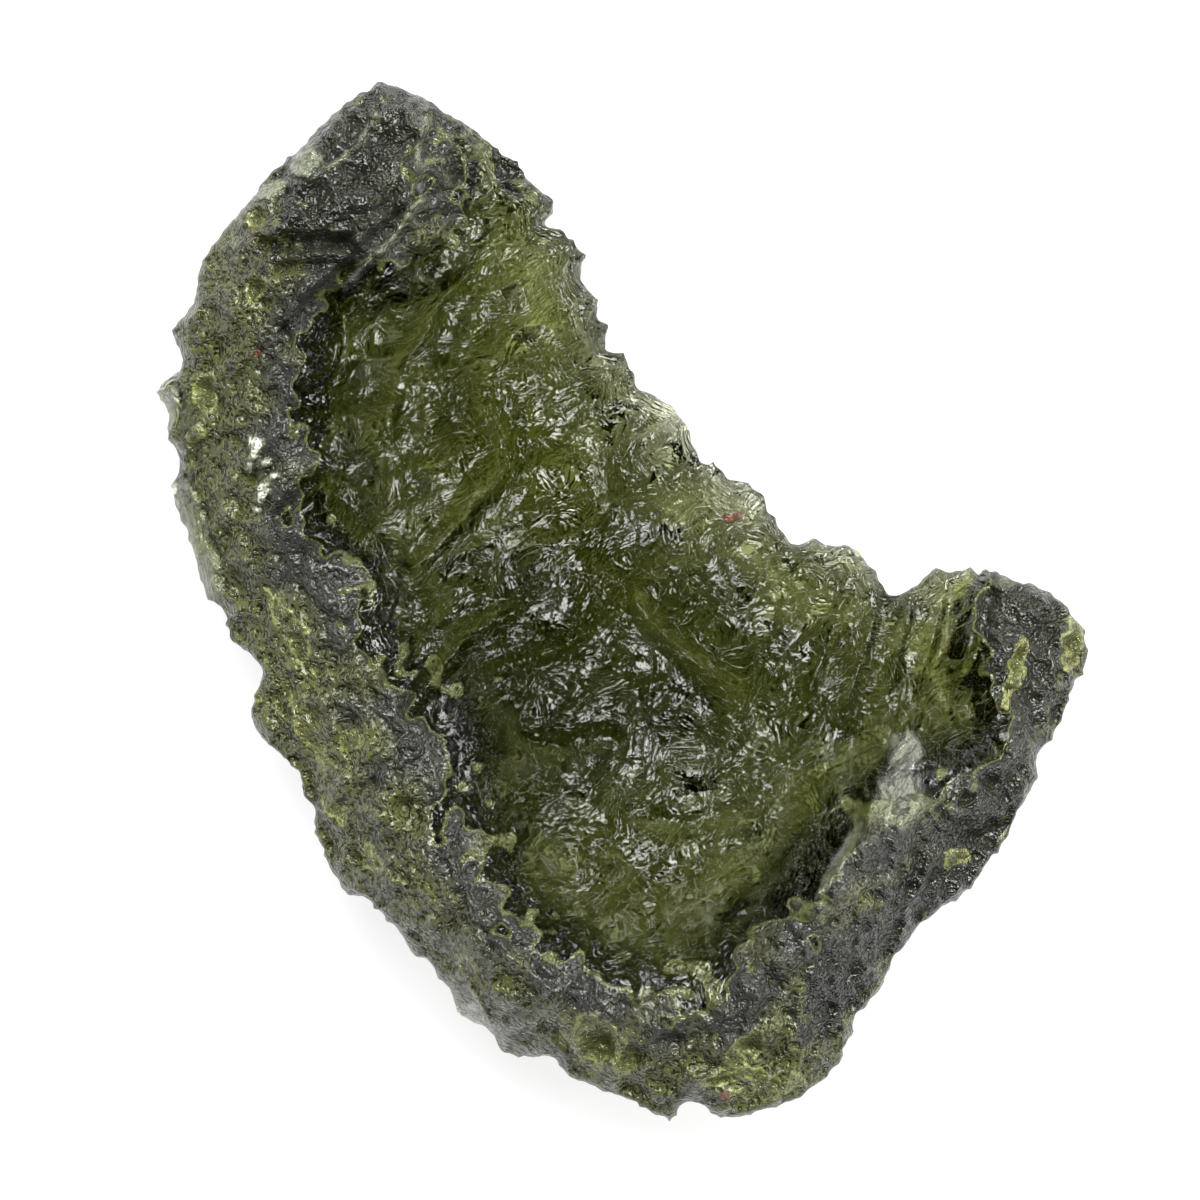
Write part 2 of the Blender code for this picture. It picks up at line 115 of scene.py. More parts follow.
# %% Spot heights
# Spots on the edge: x, y, the height of its middle and how thick the glass is there.
EDGE = [
    (-9.8, 20.6, 7.2, 2.0), (-6.5, 19.1, 6.9, 1.4), (-4.0, 17.1, 6.5, 1.2),
    (-2.8, 15.6, 6.2, 1.5), (-1.5, 13.8, 5.9, 1.4), (-0.8, 10.6, 5.7, 1.4),
    (0.4, 8.9, 5.5, 1.3), (2.6, 7.0, 5.3, 1.3), (4.0, 5.1, 5.1, 1.3), (6.1, 3.3, 4.9, 1.3),
    (9.0, 2.2, 4.7, 1.4), (10.6, 0.2, 4.5, 1.5), (12.5, 1.3, 4.8, 1.4), (14.9, 1.2, 5.2, 1.5),
    (17.1, 0.3, 5.2, 1.7), (18.6, -2.0, 5.0, 2.0), (17.5, -4.8, 5.1, 3.0),
    (16.4, -7.1, 5.4, 4.0), (14.4, -10.5, 5.8, 4.4), (11.2, -13.6, 6.4, 4.6),
    (9.1, -16.9, 7.0, 4.2), (7.0, -19.7, 7.6, 3.0), (3.8, -20.5, 7.8, 2.6),
    (0.6, -20.1, 7.4, 3.0), (-3.0, -18.1, 6.8, 3.0), (-6.0, -16.9, 5.8, 0.9),
    (-8.6, -13.8, 5.8, 3.2), (-11.3, -11.5, 5.4, 2.4), (-12.8, -7.8, 5.2, 2.8),
    (-14.9, -4.5, 5.0, 2.6), (-16.0, -0.8, 4.8, 1.8), (-17.5, 2.4, 4.6, 0.8),
    (-18.2, 4.6, 4.7, 0.9), (-18.8, 8.3, 5.0, 0.9), (-17.4, 11.5, 5.8, 2.8),
    (-15.9, 14.7, 6.6, 3.2), (-13.4, 17.6, 7.0, 2.8), (-11.6, 19.3, 7.2, 2.4),
]
# The rim's crest, from the tip down the left side, along the foot and up to the lobe.
CREST = [
    (-8.4, 19.6, 8.2), (-7.8, 17.8, 8.6), (-7.9, 16.0, 9.0), (-9.6, 14.4, 9.6),
    (-11.2, 12.8, 9.8), (-12.8, 11.0, 9.8), (-13.1, 8.4, 9.5), (-13.3, 5.6, 9.1),
    (-13.1, 3.2, 9.0), (-12.0, 1.2, 9.1), (-10.6, -0.8, 9.2), (-9.6, -3.0, 9.5),
    (-8.4, -5.6, 9.9), (-7.3, -8.4, 10.3), (-6.4, -10.8, 10.8), (-4.4, -13.2, 11.3),
    (-1.8, -15.0, 11.7), (1.0, -16.2, 12.0), (3.6, -16.2, 12.3), (5.6, -14.8, 12.5),
    (7.2, -12.2, 12.5), (9.0, -10.0, 12.0), (11.0, -8.6, 11.0), (13.4, -7.4, 9.8),
    (15.0, -5.6, 8.8), (15.2, -3.4, 8.0), (14.9, -1.2, 7.3), (14.8, 0.4, 6.4),
]
# The outer edge of the rim's top, where the outer wall begins to fall away.
BROW = [
    (-10.6, 19.0, 8.8), (-12.4, 17.0, 10.2), (-14.4, 14.6, 10.2), (-15.2, 11.6, 9.4),
    (-16.0, 8.4, 7.8), (-15.8, 5.2, 7.5), (-15.0, 2.0, 7.6), (-13.5, -0.8, 8.0),
    (-12.2, -3.4, 8.3), (-11.2, -6.6, 8.8), (-10.0, -9.6, 9.2), (-8.0, -12.8, 9.6),
    (-5.2, -15.6, 10.2), (-1.6, -17.4, 10.7), (2.0, -18.6, 10.8), (5.4, -18.2, 11.0),
    (7.4, -15.8, 11.2), (9.6, -13.0, 10.6), (12.0, -11.0, 9.4), (14.2, -8.8, 8.2),
    (16.2, -6.0, 7.4), (17.0, -3.4, 6.9), (16.4, -1.2, 6.8),
]
# The floor of the hollow, which reaches a little way up the rim's inner side.
HOLLOW = [
    (-5.4, 17.2, 7.2), (-5.8, 13.6, 6.9), (-4.2, 10.8, 6.3), (-9.0, 8.8, 7.9),
    (-9.4, 5.2, 7.9), (-5.8, 5.2, 6.5), (-1.4, 6.0, 5.7), (-9.0, 2.0, 7.8), (-2.6, 1.6, 5.7),
    (0.6, -0.8, 5.3), (-7.0, -1.2, 7.5), (-3.8, -4.8, 6.7), (0.6, -5.6, 5.9),
    (4.6, -4.0, 5.2), (4.6, 0.0, 5.2), (8.2, -0.8, 5.3), (8.6, -3.8, 5.7), (5.4, -7.2, 6.4),
    (1.4, -9.4, 7.4), (-2.6, -9.2, 8.0), (-2.2, -12.0, 9.5), (2.2, -12.8, 9.8),
    (5.0, -10.4, 8.2), (7.4, -7.6, 7.4), (10.6, -4.8, 6.6), (11.4, -1.6, 5.9),
    (13.0, -4.8, 7.0), (13.0, -0.4, 6.0),
]
# The underside, a shallow keel that is deepest under the stone's middle.
KEEL = [
    (-2.4, -2.6, -0.2), (-6.5, 3.5, 2.3), (2.0, -7.5, 1.3), (-10.0, 8.5, 4.1),
    (-9.5, 14.5, 3.6), (-5.5, 14.5, 3.3), (-4.5, 9.5, 2.2), (-14.0, 4.0, 4.0),
    (-15.2, 9.5, 4.3), (-11.5, -2.5, 4.3), (-8.5, -9.0, 5.4), (-3.5, -12.5, 6.2),
    (1.5, -16.0, 7.7), (6.0, -15.5, 7.5), (2.0, -12.0, 4.9), (7.0, -11.5, 5.7),
    (8.5, -8.0, 4.0), (12.5, -6.5, 4.4), (-6.0, -5.5, 2.0),
    (15.0, -3.0, 3.2), (9.5, -3.0, 1.0), (5.0, -1.0, 0.9), (1.0, 3.0, 1.5), (-2.0, 8.0, 2.5),
]
# The low boss that the stone rests on: its middle, its radius and how far it stands out.
FOOT_BOSS = (-2.4, -2.6, 4.2, 1.2)
print("spots:", len(EDGE), "edge,", len(CREST) + len(BROW), "rim,", len(HOLLOW), "hollow")

# %% [markdown]
# ## A sheet through the spots
#
# The spots need a surface between them. Triangles would show as facets, and a grid of control
# points would put spots where nothing happens. A thin-plate spline is the shape that a sheet
# of springy metal takes when it is held at the spots: it goes through each one, and it bends
# as little as it can. It takes one small system of equations, solved once for each sheet.

# %% A smooth sheet
def smooth_step(x):
    """Rises softly from 0 at x = 0 to 1 at x = 1."""
    x = np.clip(x, 0.0, 1.0)
    return x * x * (3.0 - 2.0 * x)


# Many points are worked out in parts, which takes less memory.
POINTS_AT_ONCE = 20000


def surface_through(spots):
    """A smooth sheet through spots (x, y, z), as a function of points (n, 2)."""
    spots = np.array(spots, float)
    places, heights = spots[:, :2], spots[:, 2]
    count = len(spots)

    def bending(points):
        squared = ((points[:, None, :] - places[None, :, :]) ** 2).sum(axis=2)
        return 0.5 * squared * np.log(squared + 1e-9)

    system = np.zeros((count + 3, count + 3))
    system[:count, :count] = bending(places)
    system[:count, count] = system[count, :count] = 1.0
    system[:count, count + 1:] = places
    system[count + 1:, :count] = places.T
    weights = np.linalg.solve(system, np.append(heights, (0.0, 0.0, 0.0)))

    def height(points):
        pieces = np.array_split(points, max(1, len(points) // POINTS_AT_ONCE))
        bent = np.concatenate([bending(piece) @ weights[:count] for piece in pieces])
        return bent + weights[count] + points @ weights[count + 1:]

    return height


# %% The two sides of the stone
rim_top = [(x, y, z + thick / 2) for x, y, z, thick in EDGE]
rim_bottom = [(x, y, z - thick / 2) for x, y, z, thick in EDGE]
top_sheet = surface_through(rim_top + CREST + BROW + HOLLOW)
bottom_sheet = surface_through(rim_bottom + KEEL)
middle = np.array([(0.0, 0.0)])
print("glass under the hollow, mm:", float((top_sheet(middle) - bottom_sheet(middle))[0]))

# %% [markdown]
# ## Furrows, ledges and pits
#
# Ground water etched the glass for fifteen million years. It left grooves, a few deep round
# pits and broken ledges. Each could be cut with a Boolean, but then every groove would have
# a hard saw edge. Here a groove is a line with a depth and a width, and the height under it
# sinks smoothly. A ledge is a line with one raised side, a ridge is a line that stands out,
# and a pit is a spot with a radius.

# %% Named grooves, pits and ledges
# Furrows in the hollow: their depth, their width and the line that each follows.
FURROWS = [
    (1.3, 0.36, [(-5.6, 7.6), (-4.9, 6.6), (-4.9, 5.4), (-5.4, 4.3)]),
    (1.0, 0.34, [(-8.2, 1.4), (-7.6, 2.0), (-6.4, 3.3), (-5.9, 4.4)]),
    (1.0, 0.34, [(-8.5, -4.3), (-7.3, -2.7), (-6.1, -1.4), (-4.4, -0.4)]),
    (0.7, 0.28, [(-5.1, -2.8), (-3.0, -2.1), (-1.6, -1.3)]),
    (1.2, 0.34, [(0.5, -0.1), (1.4, -1.2), (2.3, -2.0), (3.4, -3.0), (4.8, -3.6)]),
    (0.5, 0.40, [(-4.1, -5.5), (-2.6, -5.8), (-0.6, -5.4)]),
    (0.5, 0.40, [(0.4, -8.6), (2.4, -9.0), (4.4, -8.4)]),
    (0.8, 0.30, [(-13.8, 3.2), (-12.4, 4.4), (-11.6, 4.8)]),
    (1.0, 0.28, [(-14.2, 14.0), (-12.4, 14.0), (-11.0, 14.1)]),
    (0.8, 0.26, [(-13.6, 13.0), (-12.2, 13.2), (-11.0, 13.1)]),
    (0.6, 0.45, [(13.2, 0.6), (12.8, -1.6), (12.6, -3.8)]),
    (0.6, 0.45, [(14.6, 0.2), (14.0, -2.6), (13.8, -4.6)]),
    (0.5, 0.50, [(9.6, -4.2), (9.2, -6.4), (8.8, -8.8)]),
]
# Round pits in the rim: x, y, radius and depth.
PITS = [
    (-1.1, -17.4, 1.15, 1.3), (0.3, -18.0, 0.7, 0.9), (5.0, -17.5, 0.8, 1.0),
    (2.0, -17.4, 0.6, 0.6), (14.4, -7.1, 0.6, 0.8), (13.5, -7.9, 0.5, 0.6),
    (-14.5, 12.3, 0.5, 0.7), (-16.7, 8.4, 0.6, 0.9), (-14.5, 15.0, 0.6, 0.6),
    (-14.8, 4.9, 0.6, 0.8), (-8.8, -8.2, 0.6, 0.6), (-6.5, -11.5, 0.4, 0.5),
    (11.2, -11.4, 0.6, 0.6), (-10.6, -10.2, 0.6, 0.6),
]
# Ledges: how high, how far the raised side reaches back, and the line of the foot, with
# the raised side on the line's left.
LEDGES = [
    (0.9, 1.6, [(-12.6, 11.6), (-10.9, 13.2), (-9.7, 14.5), (-8.0, 16.0), (-7.8, 19.2)]),
    (1.2, 1.2, [(10.9, -5.3), (9.8, -6.7), (9.4, -7.8), (9.0, -9.2), (7.6, -11.0)]),
]
# Thin raised ridges: how high, how wide and the line.
THIN_RIDGES = [
    (0.50, 0.17, [(-7.8, 19.4), (-8.1, 17.6), (-8.0, 15.8), (-9.2, 14.2), (-11.0, 12.4)]),
    (0.35, 0.13, [(-9.8, 19.2), (-10.6, 17.8), (-12.2, 16.6)]),
    (0.30, 0.18, [(-3.0, -15.2), (-4.6, -13.8), (-6.4, -11.4), (-7.2, -9.0)]),
    (0.40, 0.22, [(7.4, -3.6), (8.2, -1.6), (8.8, 0.2)]),
    (0.40, 0.22, [(8.9, -4.0), (9.8, -1.4), (10.4, 1.0)]),
    (0.35, 0.20, [(10.6, -3.4), (11.3, -0.8), (11.7, 1.4)]),
    (0.35, 0.22, [(12.0, -2.6), (12.7, -0.4), (13.0, 1.6)]),
]
# The first ridges in the list are sharp enough to look pale.
PALE_RIDGES = 2
# Small flat faces that mirror the softbox: x, y, radius.
MIRRORS = [(-3.8, 3.9, 0.45), (-5.4, 1.8, 0.4), (-10.5, 4.8, 0.5), (-10.2, 5.2, 0.35)]
MIRROR_SLOPE = (-0.04, -0.21)
# The rim's crest is a little sharper than the sheet makes it.
CREST_LIFT, CREST_WIDTH = 0.2, 0.9
print(len(FURROWS), "furrows,", len(PITS), "pits,", len(LEDGES), "ledges")


# %% [markdown]
# ## Distance to a line
#
# Every groove, ledge and ridge asks the same question of a point: how far is it from this
# line? The edge asks it too, because glass is rounded there. Blender's Shrinkwrap or a
# BVH tree can answer it for meshes. For a short list of corners it is simpler to try each
# stretch of the line, for all points at once, and to keep the nearest.

# %% Distance to a line
def nearest_on_line(points, line, closed=False):
    """Distance from points (n, 2) to a broken line, and which side each lies on."""
    corners = np.array([spot[:2] for spot in line], float)
    starts = corners if closed else corners[:-1]
    ends = np.roll(corners, -1, axis=0) if closed else corners[1:]
    best = np.full(len(points), np.inf)
    side = np.zeros(len(points))
    for start, end in zip(starts, ends):
        along = end - start
        away = points - start
        share = np.clip(away @ along / (along @ along), 0.0, 1.0)
        gap = np.linalg.norm(away - share[:, None] * along, axis=1)
        nearer = gap < best
        cross = along[0] * away[:, 1] - along[1] * away[:, 0]
        side = np.where(nearer, np.sign(cross), side)
        best = np.minimum(best, gap)
    return best, side


print("the hollow's middle is", nearest_on_line(middle, OUTLINE, True)[0], "mm from the edge")

# %% [markdown]
# ## Where the skin is dull
#
# The rim is weathered and dull, and the hollow and the broken fringe are fresh and glossy.
# Painting this on the mesh by hand would tie it to that mesh. Instead dullness is one more
# smooth sheet through spots: 1 on the brow, 0 in the hollow, and any point can ask its value.

# %% The dull rim as a value from 0 to 1
DULL_CREST = 0.6
skin_spots = [(x, y, 1.0) for x, y, *_ in BROW]
skin_spots += [(x, y, DULL_CREST) for x, y, *_ in CREST]
skin_spots += [(x, y, 0.0) for x, y, *_ in HOLLOW]
# The dull skin runs out to the edge from the lobe round the foot to the shoulder.
LOBE_SPOT, FIRST_FRINGE_SPOT, LAST_FRINGE_SPOT, THIN_EDGE = 15, 3, 13, 1.2
skin_spots += [(x, y, 1.0 if thick > THIN_EDGE else 0.1) for x, y, _, thick in EDGE[LOBE_SPOT:]]
skin_spots += [(x, y, 0.0) for x, y, *_ in EDGE[FIRST_FRINGE_SPOT:LAST_FRINGE_SPOT]]
# High on the left the glossy hollow reaches out past the crest.
skin_spots += [(-12.6, 10.4, 0.15), (-12.5, 8.2, 0.15), (-12.3, 6.0, 0.2), (-11.6, 3.6, 0.2)]
# The broken faces right of the tip are dull too.
skin_spots += [(-6.6, 18.6, 0.8), (-5.0, 17.2, 0.7), (-6.4, 16.6, 0.5)]
skin_sheet = surface_through(skin_spots)
print("dullness at the hollow's middle:", float(skin_sheet(middle)[0].clip(0, 1)))

# %% [markdown]
# ## How deep the wrinkles are
#
# The hollow's wrinkles are deep near the tip, and faint at the foot and on the right. One
# depth for all would look like cast plastic. A third sheet gives the depth at each place, so
# that a few numbers steer it.

# %% How deep the wrinkles are, from 0 to 1
RELIEF = [
    (-5.8, 13.6, 0.9), (-8.0, 10.0, 1.0), (-4.0, 10.8, 0.9), (-10.6, 8.0, 1.0),
    (-10.8, 4.0, 1.0), (-7.0, 6.0, 0.8), (-2.0, 7.0, 0.6), (-6.0, 1.0, 0.6), (1.0, 4.0, 0.5),
    (-2.0, -2.0, 0.55), (3.0, -3.0, 0.6), (6.0, 0.5, 0.3), (9.0, -1.5, 0.3), (0.0, -7.0, 0.5),
    (6.0, -6.0, 0.5), (0.0, -12.0, 0.2), (5.0, -11.5, 0.2), (10.0, -5.0, 0.5),
    (13.0, -2.0, 0.9), (-8.0, -4.0, 0.6), (-5.5, 17.5, 0.6),
]
relief_sheet = surface_through(RELIEF)
print("wrinkle depth at the hollow's middle:", round(float(relief_sheet(middle)[0]), 2))

# %% [markdown]
# ## Spots with a finish of their own
#
# The skin isn't even. Broken facets are still glossy, chips are frosted white, one patch has
# crumbled, thin places let the light through as bright green windows, and there are specks
# of rust. Each is an oval of its own size and turn, listed by kind, and noise makes its
# border ragged. A painted mask could do it too, but a list can be read and changed.

# %% Spots with a finish of their own: x, y, length, width, turn in degrees
# Broken facets that the weather has left glossy.
GLOSSY = [
    (-10.5, 16.8, 9.5, 6.0, 45), (15.8, -2.0, 8.0, 5.5, 80), (12.9, -10.2, 13.0, 3.4, 52),
    (8.5, -15.0, 6.0, 3.0, 60), (-10.8, 10.5, 7.0, 2.2, 75), (-5.8, 17.6, 5.0, 3.2, -50),
]
# Frosty chips, which look almost white.
FROSTY = [
    (-13.9, 16.2, 1.3, 0.7, 30), (-12.6, 17.2, 1.5, 1.0, 35), (-18.2, 7.4, 2.2, 0.8, 80),
    (-17.2, 3.2, 3.6, 0.9, -72), (-16.6, 1.2, 2.6, 1.1, -70), (-5.6, -16.3, 2.8, 0.3, -65),
    (-7.6, -12.5, 0.4, 0.3, 0), (11.1, -6.0, 1.7, 1.3, 70), (10.8, -7.8, 2.4, 1.9, 75),
    (8.3, -10.3, 3.6, 0.4, 58),
]
# The crumbled patch on the left of the rim.
CRUMBS = [
    (-14.6, 6.2, 0.9, 0.7, 60), (-14.2, 5.4, 0.5, 0.4, 0), (-14.9, 5.2, 0.6, 0.3, 80),
    (-14.3, 4.3, 1.3, 0.5, 75), (-13.9, 4.9, 0.4, 0.3, 20), (-14.6, 3.6, 0.4, 0.3, 0),
]
# Windows in the dull skin, where the glass shines yellow-green.
WINDOWS = [
    (-16.7, 8.2, 1.0, 1.6, 10), (-14.5, 15.0, 0.7, 0.6, 0), (-14.5, 12.2, 0.9, 0.7, 40),
    (-1.1, -17.4, 2.4, 1.9, 150), (0.0, -18.2, 1.0, 0.7, 150),
    (4.4, -18.0, 0.9, 0.8, 0), (5.0, -17.4, 1.2, 1.0, 20), (-10.0, -10.3, 1.1, 0.7, -50),
    (-10.8, -5.6, 0.9, 0.8, 0), (4.2, -18.7, 2.8, 0.5, 14), (-13.2, -1.2, 3.2, 0.9, -60),
    (-12.6, -5.0, 3.0, 0.8, -65), (5.6, -19.2, 2.4, 0.9, 12), (-17.0, 6.6, 0.8, 0.6, 0),
    (-14.8, -3.6, 1.0, 0.6, -60), (-11.6, -8.2, 1.4, 0.6, -60), (-6.2, -14.4, 1.2, 0.7, -40),
    (13.2, -10.2, 1.0, 0.7, 50), (15.6, -2.6, 2.6, 0.6, 75), (17.9, -1.6, 2.6, 0.8, 80),
    (13.6, 0.6, 1.2, 0.5, 60),
]
# Rust-brown specks inside the glass.
RUSTY = [(-14.5, 9.8, 0.3, 0.25, 0), (3.9, -19.5, 0.3, 0.25, 0), (4.4, 3.3, 0.75, 0.28, 20)]
# An oval's border begins to fade at this share of its size, and ends this much further out.
OVAL_FULL, OVAL_FADE, OVAL_WANDER = 0.75, 0.35, 0.35


def ovals(points, spots, wander):
    """1 inside any of the oval spots and 0 outside, with ragged borders."""
    inside = np.zeros(len(points))
    for x, y, length, width, turn in spots:
        angle = math.radians(turn)
        away = points - np.array((x, y))
        along = (away[:, 0] * math.cos(angle) + away[:, 1] * math.sin(angle)) / (length / 2)
        across = (away[:, 1] * math.cos(angle) - away[:, 0] * math.sin(angle)) / (width / 2)
        reach = np.hypot(along, across) + OVAL_WANDER * wander
        inside = np.maximum(inside, 1.0 - smooth_step((reach - OVAL_FULL) / OVAL_FADE))
    return inside


print("spots with their own finish:", len(GLOSSY + FROSTY + CRUMBS + WINDOWS + RUSTY))

# %% [markdown]
# ## Which way the wrinkles run
#
# The wrinkles follow the way the molten glass once flowed, and it turns from place to place.
# A sheet of angles would jump where 180 degrees meets 0, though a wrinkle is the same there.
# So the sheets hold the cosine and sine of twice the angle, which don't jump, and the angle
# is taken back from them.

# %% Which way the wrinkles run, in degrees from +X
FLOW = [
    (-10.8, 6.0, 50), (-11.5, 9.0, 50), (-7.0, 12.0, 30), (-5.0, 16.0, 20), (-2.5, 11.0, 50),
    (1.0, 6.5, 40), (4.5, 3.5, 45), (-6.0, 4.5, 60), (-1.0, 1.5, 50), (3.4, -2.0, -45),
    (6.0, 0.0, -20), (9.5, -0.5, 60), (-2.5, -5.6, 20), (4.0, -8.0, 80), (9.0, -5.0, 85),
    (0.0, -13.0, 8), (6.0, -12.5, 40), (15.2, -2.0, 75), (14.0, -9.0, 50), (9.5, -14.5, 60),
    (-16.5, 4.0, -80), (-13.0, -3.5, -60), (-10.0, -10.5, -55), (-3.0, -16.5, -30),
    (3.5, -18.8, 5), (-14.5, 13.0, 50), (-9.5, 17.5, 60),
]
flow_cosine = surface_through([(x, y, math.cos(math.radians(2 * turn))) for x, y, turn in FLOW])
flow_sine = surface_through([(x, y, math.sin(math.radians(2 * turn))) for x, y, turn in FLOW])


def flow_angle(points):
    """The wrinkles' direction at points, in radians from +X."""
    return 0.5 * np.arctan2(flow_sine(points), flow_cosine(points))


print("the wrinkles in the middle run at", round(math.degrees(flow_angle(middle)[0])), "degrees")

# %% [markdown]
# ## A plate to mould
#
# The mesh starts as a flat plate: the outline, filled and made thick. A filled curve has long
# thin triangles, which can't carry wrinkles, so the voxel remesher rebuilds it with points
# that are evenly spread. A fresh glass edge is chipped, so noise first bites small pieces out
# of the outline. Later every point of the plate gets its real height.

# %% A flat plate of even grain
PLATE_THICKNESS = 1.0
PLATE_GRAIN = 0.085
# Bites in the edge: how far apart, how wide and how deep, and the slice of noise they use.
CHIP_STEP, CHIP_SIZE, CHIP_DEPTH = 0.2, 0.4, 0.16
CHIP_SLICE = 7.0


def chipped(outline):
    """The outline with small bites between its turns, as a glass edge has."""
    spots = []
    for start, end in zip(outline, outline[1:] + outline[:1]):
        start, end = Vector(start), Vector(end)
        steps = max(1, round((end - start).length / CHIP_STEP))
        outward = Vector((-(end - start).y, (end - start).x)).normalized()
        for step in range(steps):
            spot = start.lerp(end, step / steps)
            bite = noise.noise(Vector((*spot, CHIP_SLICE)) / CHIP_SIZE) * CHIP_DEPTH
            spots.append(spot + outward * (bite - CHIP_DEPTH / 3) if step else spot)
    return spots


def plate():
    """The chipped outline as a plate, with evenly spread points."""
    spots = chipped(OUTLINE)
    curve = bpy.data.curves.new("stone_outline", "CURVE")
    curve.dimensions = "2D"
    curve.fill_mode = "BOTH"
    curve.extrude = PLATE_THICKNESS / 2
    spline = curve.splines.new("POLY")
    spline.points.add(len(spots) - 1)
    for point, (x, y) in zip(spline.points, spots):
        point.co = (x, y, 0.0, 1.0)
    spline.use_cyclic_u = True
    outline = bpy.data.objects.new("stone_outline", curve)
    bpy.context.scene.collection.objects.link(outline)
    remesh = outline.modifiers.new("even_grain", "REMESH")
    remesh.mode = "VOXEL"
    remesh.voxel_size = PLATE_GRAIN
    graph = bpy.context.evaluated_depsgraph_get()
    mesh = bpy.data.meshes.new_from_object(outline.evaluated_get(graph))
    bpy.data.objects.remove(outline)
    bpy.data.curves.remove(curve)
    return mesh


stone_mesh = plate()
print("the plate has", len(stone_mesh.vertices), "points")


# %% [markdown]
# ## Two kinds of noise
#
# No two bumps of a natural stone are alike, so its small relief needs noise. Plain noise
# rolls, like worn ground. Folded where it crosses zero, it has sharp backs with rounded
# valleys between them, and turned over it gives the gutters that etching leaves. A texture on
# a Displace modifier could do this too, but here noise also steers finishes, so it is a
# function.

# %% Noise that rolls, ridges that cut
def lumps(points, size, seed):
    """Rolling noise from about -1 to 1 at points (n, 3), with lumps of the given size."""
    shift = Vector((seed, 2.0 * seed, 3.0 * seed))
    return np.array([noise.noise(Vector(p) / size + shift) for p in points]) * 2.0


def ridges(points, size, seed):
    """Sharp-backed ridges, 0 in the valleys and 1 on the backs."""
    return 1.0 - np.abs(lumps(points, size, seed)).clip(0.0, 1.0)


print("one lump and one ridge:", lumps([(0.3, 0.1, 0.0)], 1.0, 5.0), ridges([(0.3, 0.1, 0.0)], 1.0, 5.0))

# %% [markdown]
# ## Cobbles
#
# The hollow is paved with small glossy domes, each parted from the next by a sharp valley,
# and each with grooves along its back. That is a cell pattern: every point belongs to the
# nearest of many scattered centres. Blender's Voronoi texture makes such cells, but it
# doesn't say where a point lies on its own dome, and the grooves need that. So the cells are
# made here: a grid with one centre thrown into each square by dice.

# %% Scattered cells
# How many throws of the dice there are, and the steps that spread the squares over them.
THROWS, STEP_ALONG, STEP_ACROSS, STEP_BOTH = 211, 37, 71, 13


def jittered_cells(points, size, seed):
    """The two nearest of a scatter of cell centres: distances, offset to the first, its dice."""
    generator = np.random.default_rng(seed)
    dice = generator.random((THROWS, 3))
    home = np.floor(points / size).astype(int)
    best = np.full(len(points), np.inf)
    second = np.full(len(points), np.inf)
    offset = np.zeros((len(points), 2))
    thrown = np.zeros((len(points), 3))
    for step_x in (-1, 0, 1):
        for step_y in (-1, 0, 1):
            cell = home + np.array((step_x, step_y))
            pick = cell[:, 0] * STEP_ALONG + cell[:, 1] * STEP_ACROSS
            throw = dice[(pick + (cell[:, 0] * cell[:, 1]) % STEP_BOTH) % THROWS]
            away = points - (cell + throw[:, :2]) * size
            gap = np.hypot(away[:, 0], away[:, 1])
            nearer = gap < best
            second = np.where(nearer, best, np.minimum(second, gap))
            best = np.where(nearer, gap, best)
            offset = np.where(nearer[:, None], away, offset)
            thrown = np.where(nearer[:, None], throw, thrown)
    return best, second, offset, thrown


print("the nearest centre to the middle, mm:", jittered_cells(middle, 1.4, 3)[0])

# %% Cobbles with flutes on their backs
# Cobbles are longer than wide, and most lie the same way, in degrees from +X.
COBBLE_TURN, COBBLE_STRETCH = 45.0, 1.5
# As shares of a cobble's size: how far its border wanders and in what waves, how far its
# dome reaches, and how wide the valley beside it is.
BORDER_WANDER, BORDER_WAVE, DOME_REACH, VALLEY_WIDTH = 0.35, 1.6, 0.75, 0.22
# Each set of cobbles takes another slice of the noise, and each cobble other flutes.
SLICE_STEP, FLUTE_SHIFT = 3.7, 90.0


def cobbles(points, size, seed, flow, scatter):
    """Round domes with sharp valleys: their height, and each point's place on its own dome."""
    level = np.column_stack((points, np.full(len(points), seed * SLICE_STEP)))
    wander = np.column_stack((lumps(level, BORDER_WAVE * size, seed + 1),
                              lumps(level, BORDER_WAVE * size, seed + 2)))
    bent = points + BORDER_WANDER * size * wander
    main_way = math.radians(COBBLE_TURN)
    long_way = bent @ np.array((math.cos(main_way), math.sin(main_way))) / COBBLE_STRETCH
    short_way = bent @ np.array((-math.sin(main_way), math.cos(main_way)))
    best, second, offset, thrown = jittered_cells(np.column_stack((long_way, short_way)), size, seed)
    dome = 1.0 - (best / (DOME_REACH * size)) ** 2
    edge = smooth_step((second - best) / (VALLEY_WIDTH * size))
    turn = flow - main_way + (thrown[:, 2] - 0.5) * scatter
    along = offset[:, 0] * np.cos(turn) + offset[:, 1] * np.sin(turn)
    across = offset[:, 1] * np.cos(turn) - offset[:, 0] * np.sin(turn)
    return dome, edge, np.column_stack((along + thrown[:, 2] * FLUTE_SHIFT, across))


def flutes(place, length, width, seed):
    """Short grooves that run along each cobble, from its points' places."""
    level = np.column_stack((place / np.array((length, width)), np.zeros(len(place))))
    return lumps(level, 1.0, seed)


print("a cobble's dome:", cobbles(np.zeros((1, 2)), 1.4, 3, np.zeros(1), 1.0)[0])

# %% [markdown]
# ## The two sides before their wrinkles
#
# The upper side is the smooth sheet with everything that has a name cut into it or set on it:
# furrows, ledges, ridges and pits. They fade out just before the edge, so that the edge keeps
# its thickness. The underside is a shallow keel with one low boss, so that the stone rests
# on a small flat spot, as a real one rests on its high points.

# %% The upper side
# How far in from the edge the cuts reach their full depth, and how steep a ledge's foot is.
CUTS_FADE, LEDGE_FOOT = 1.2, 0.35


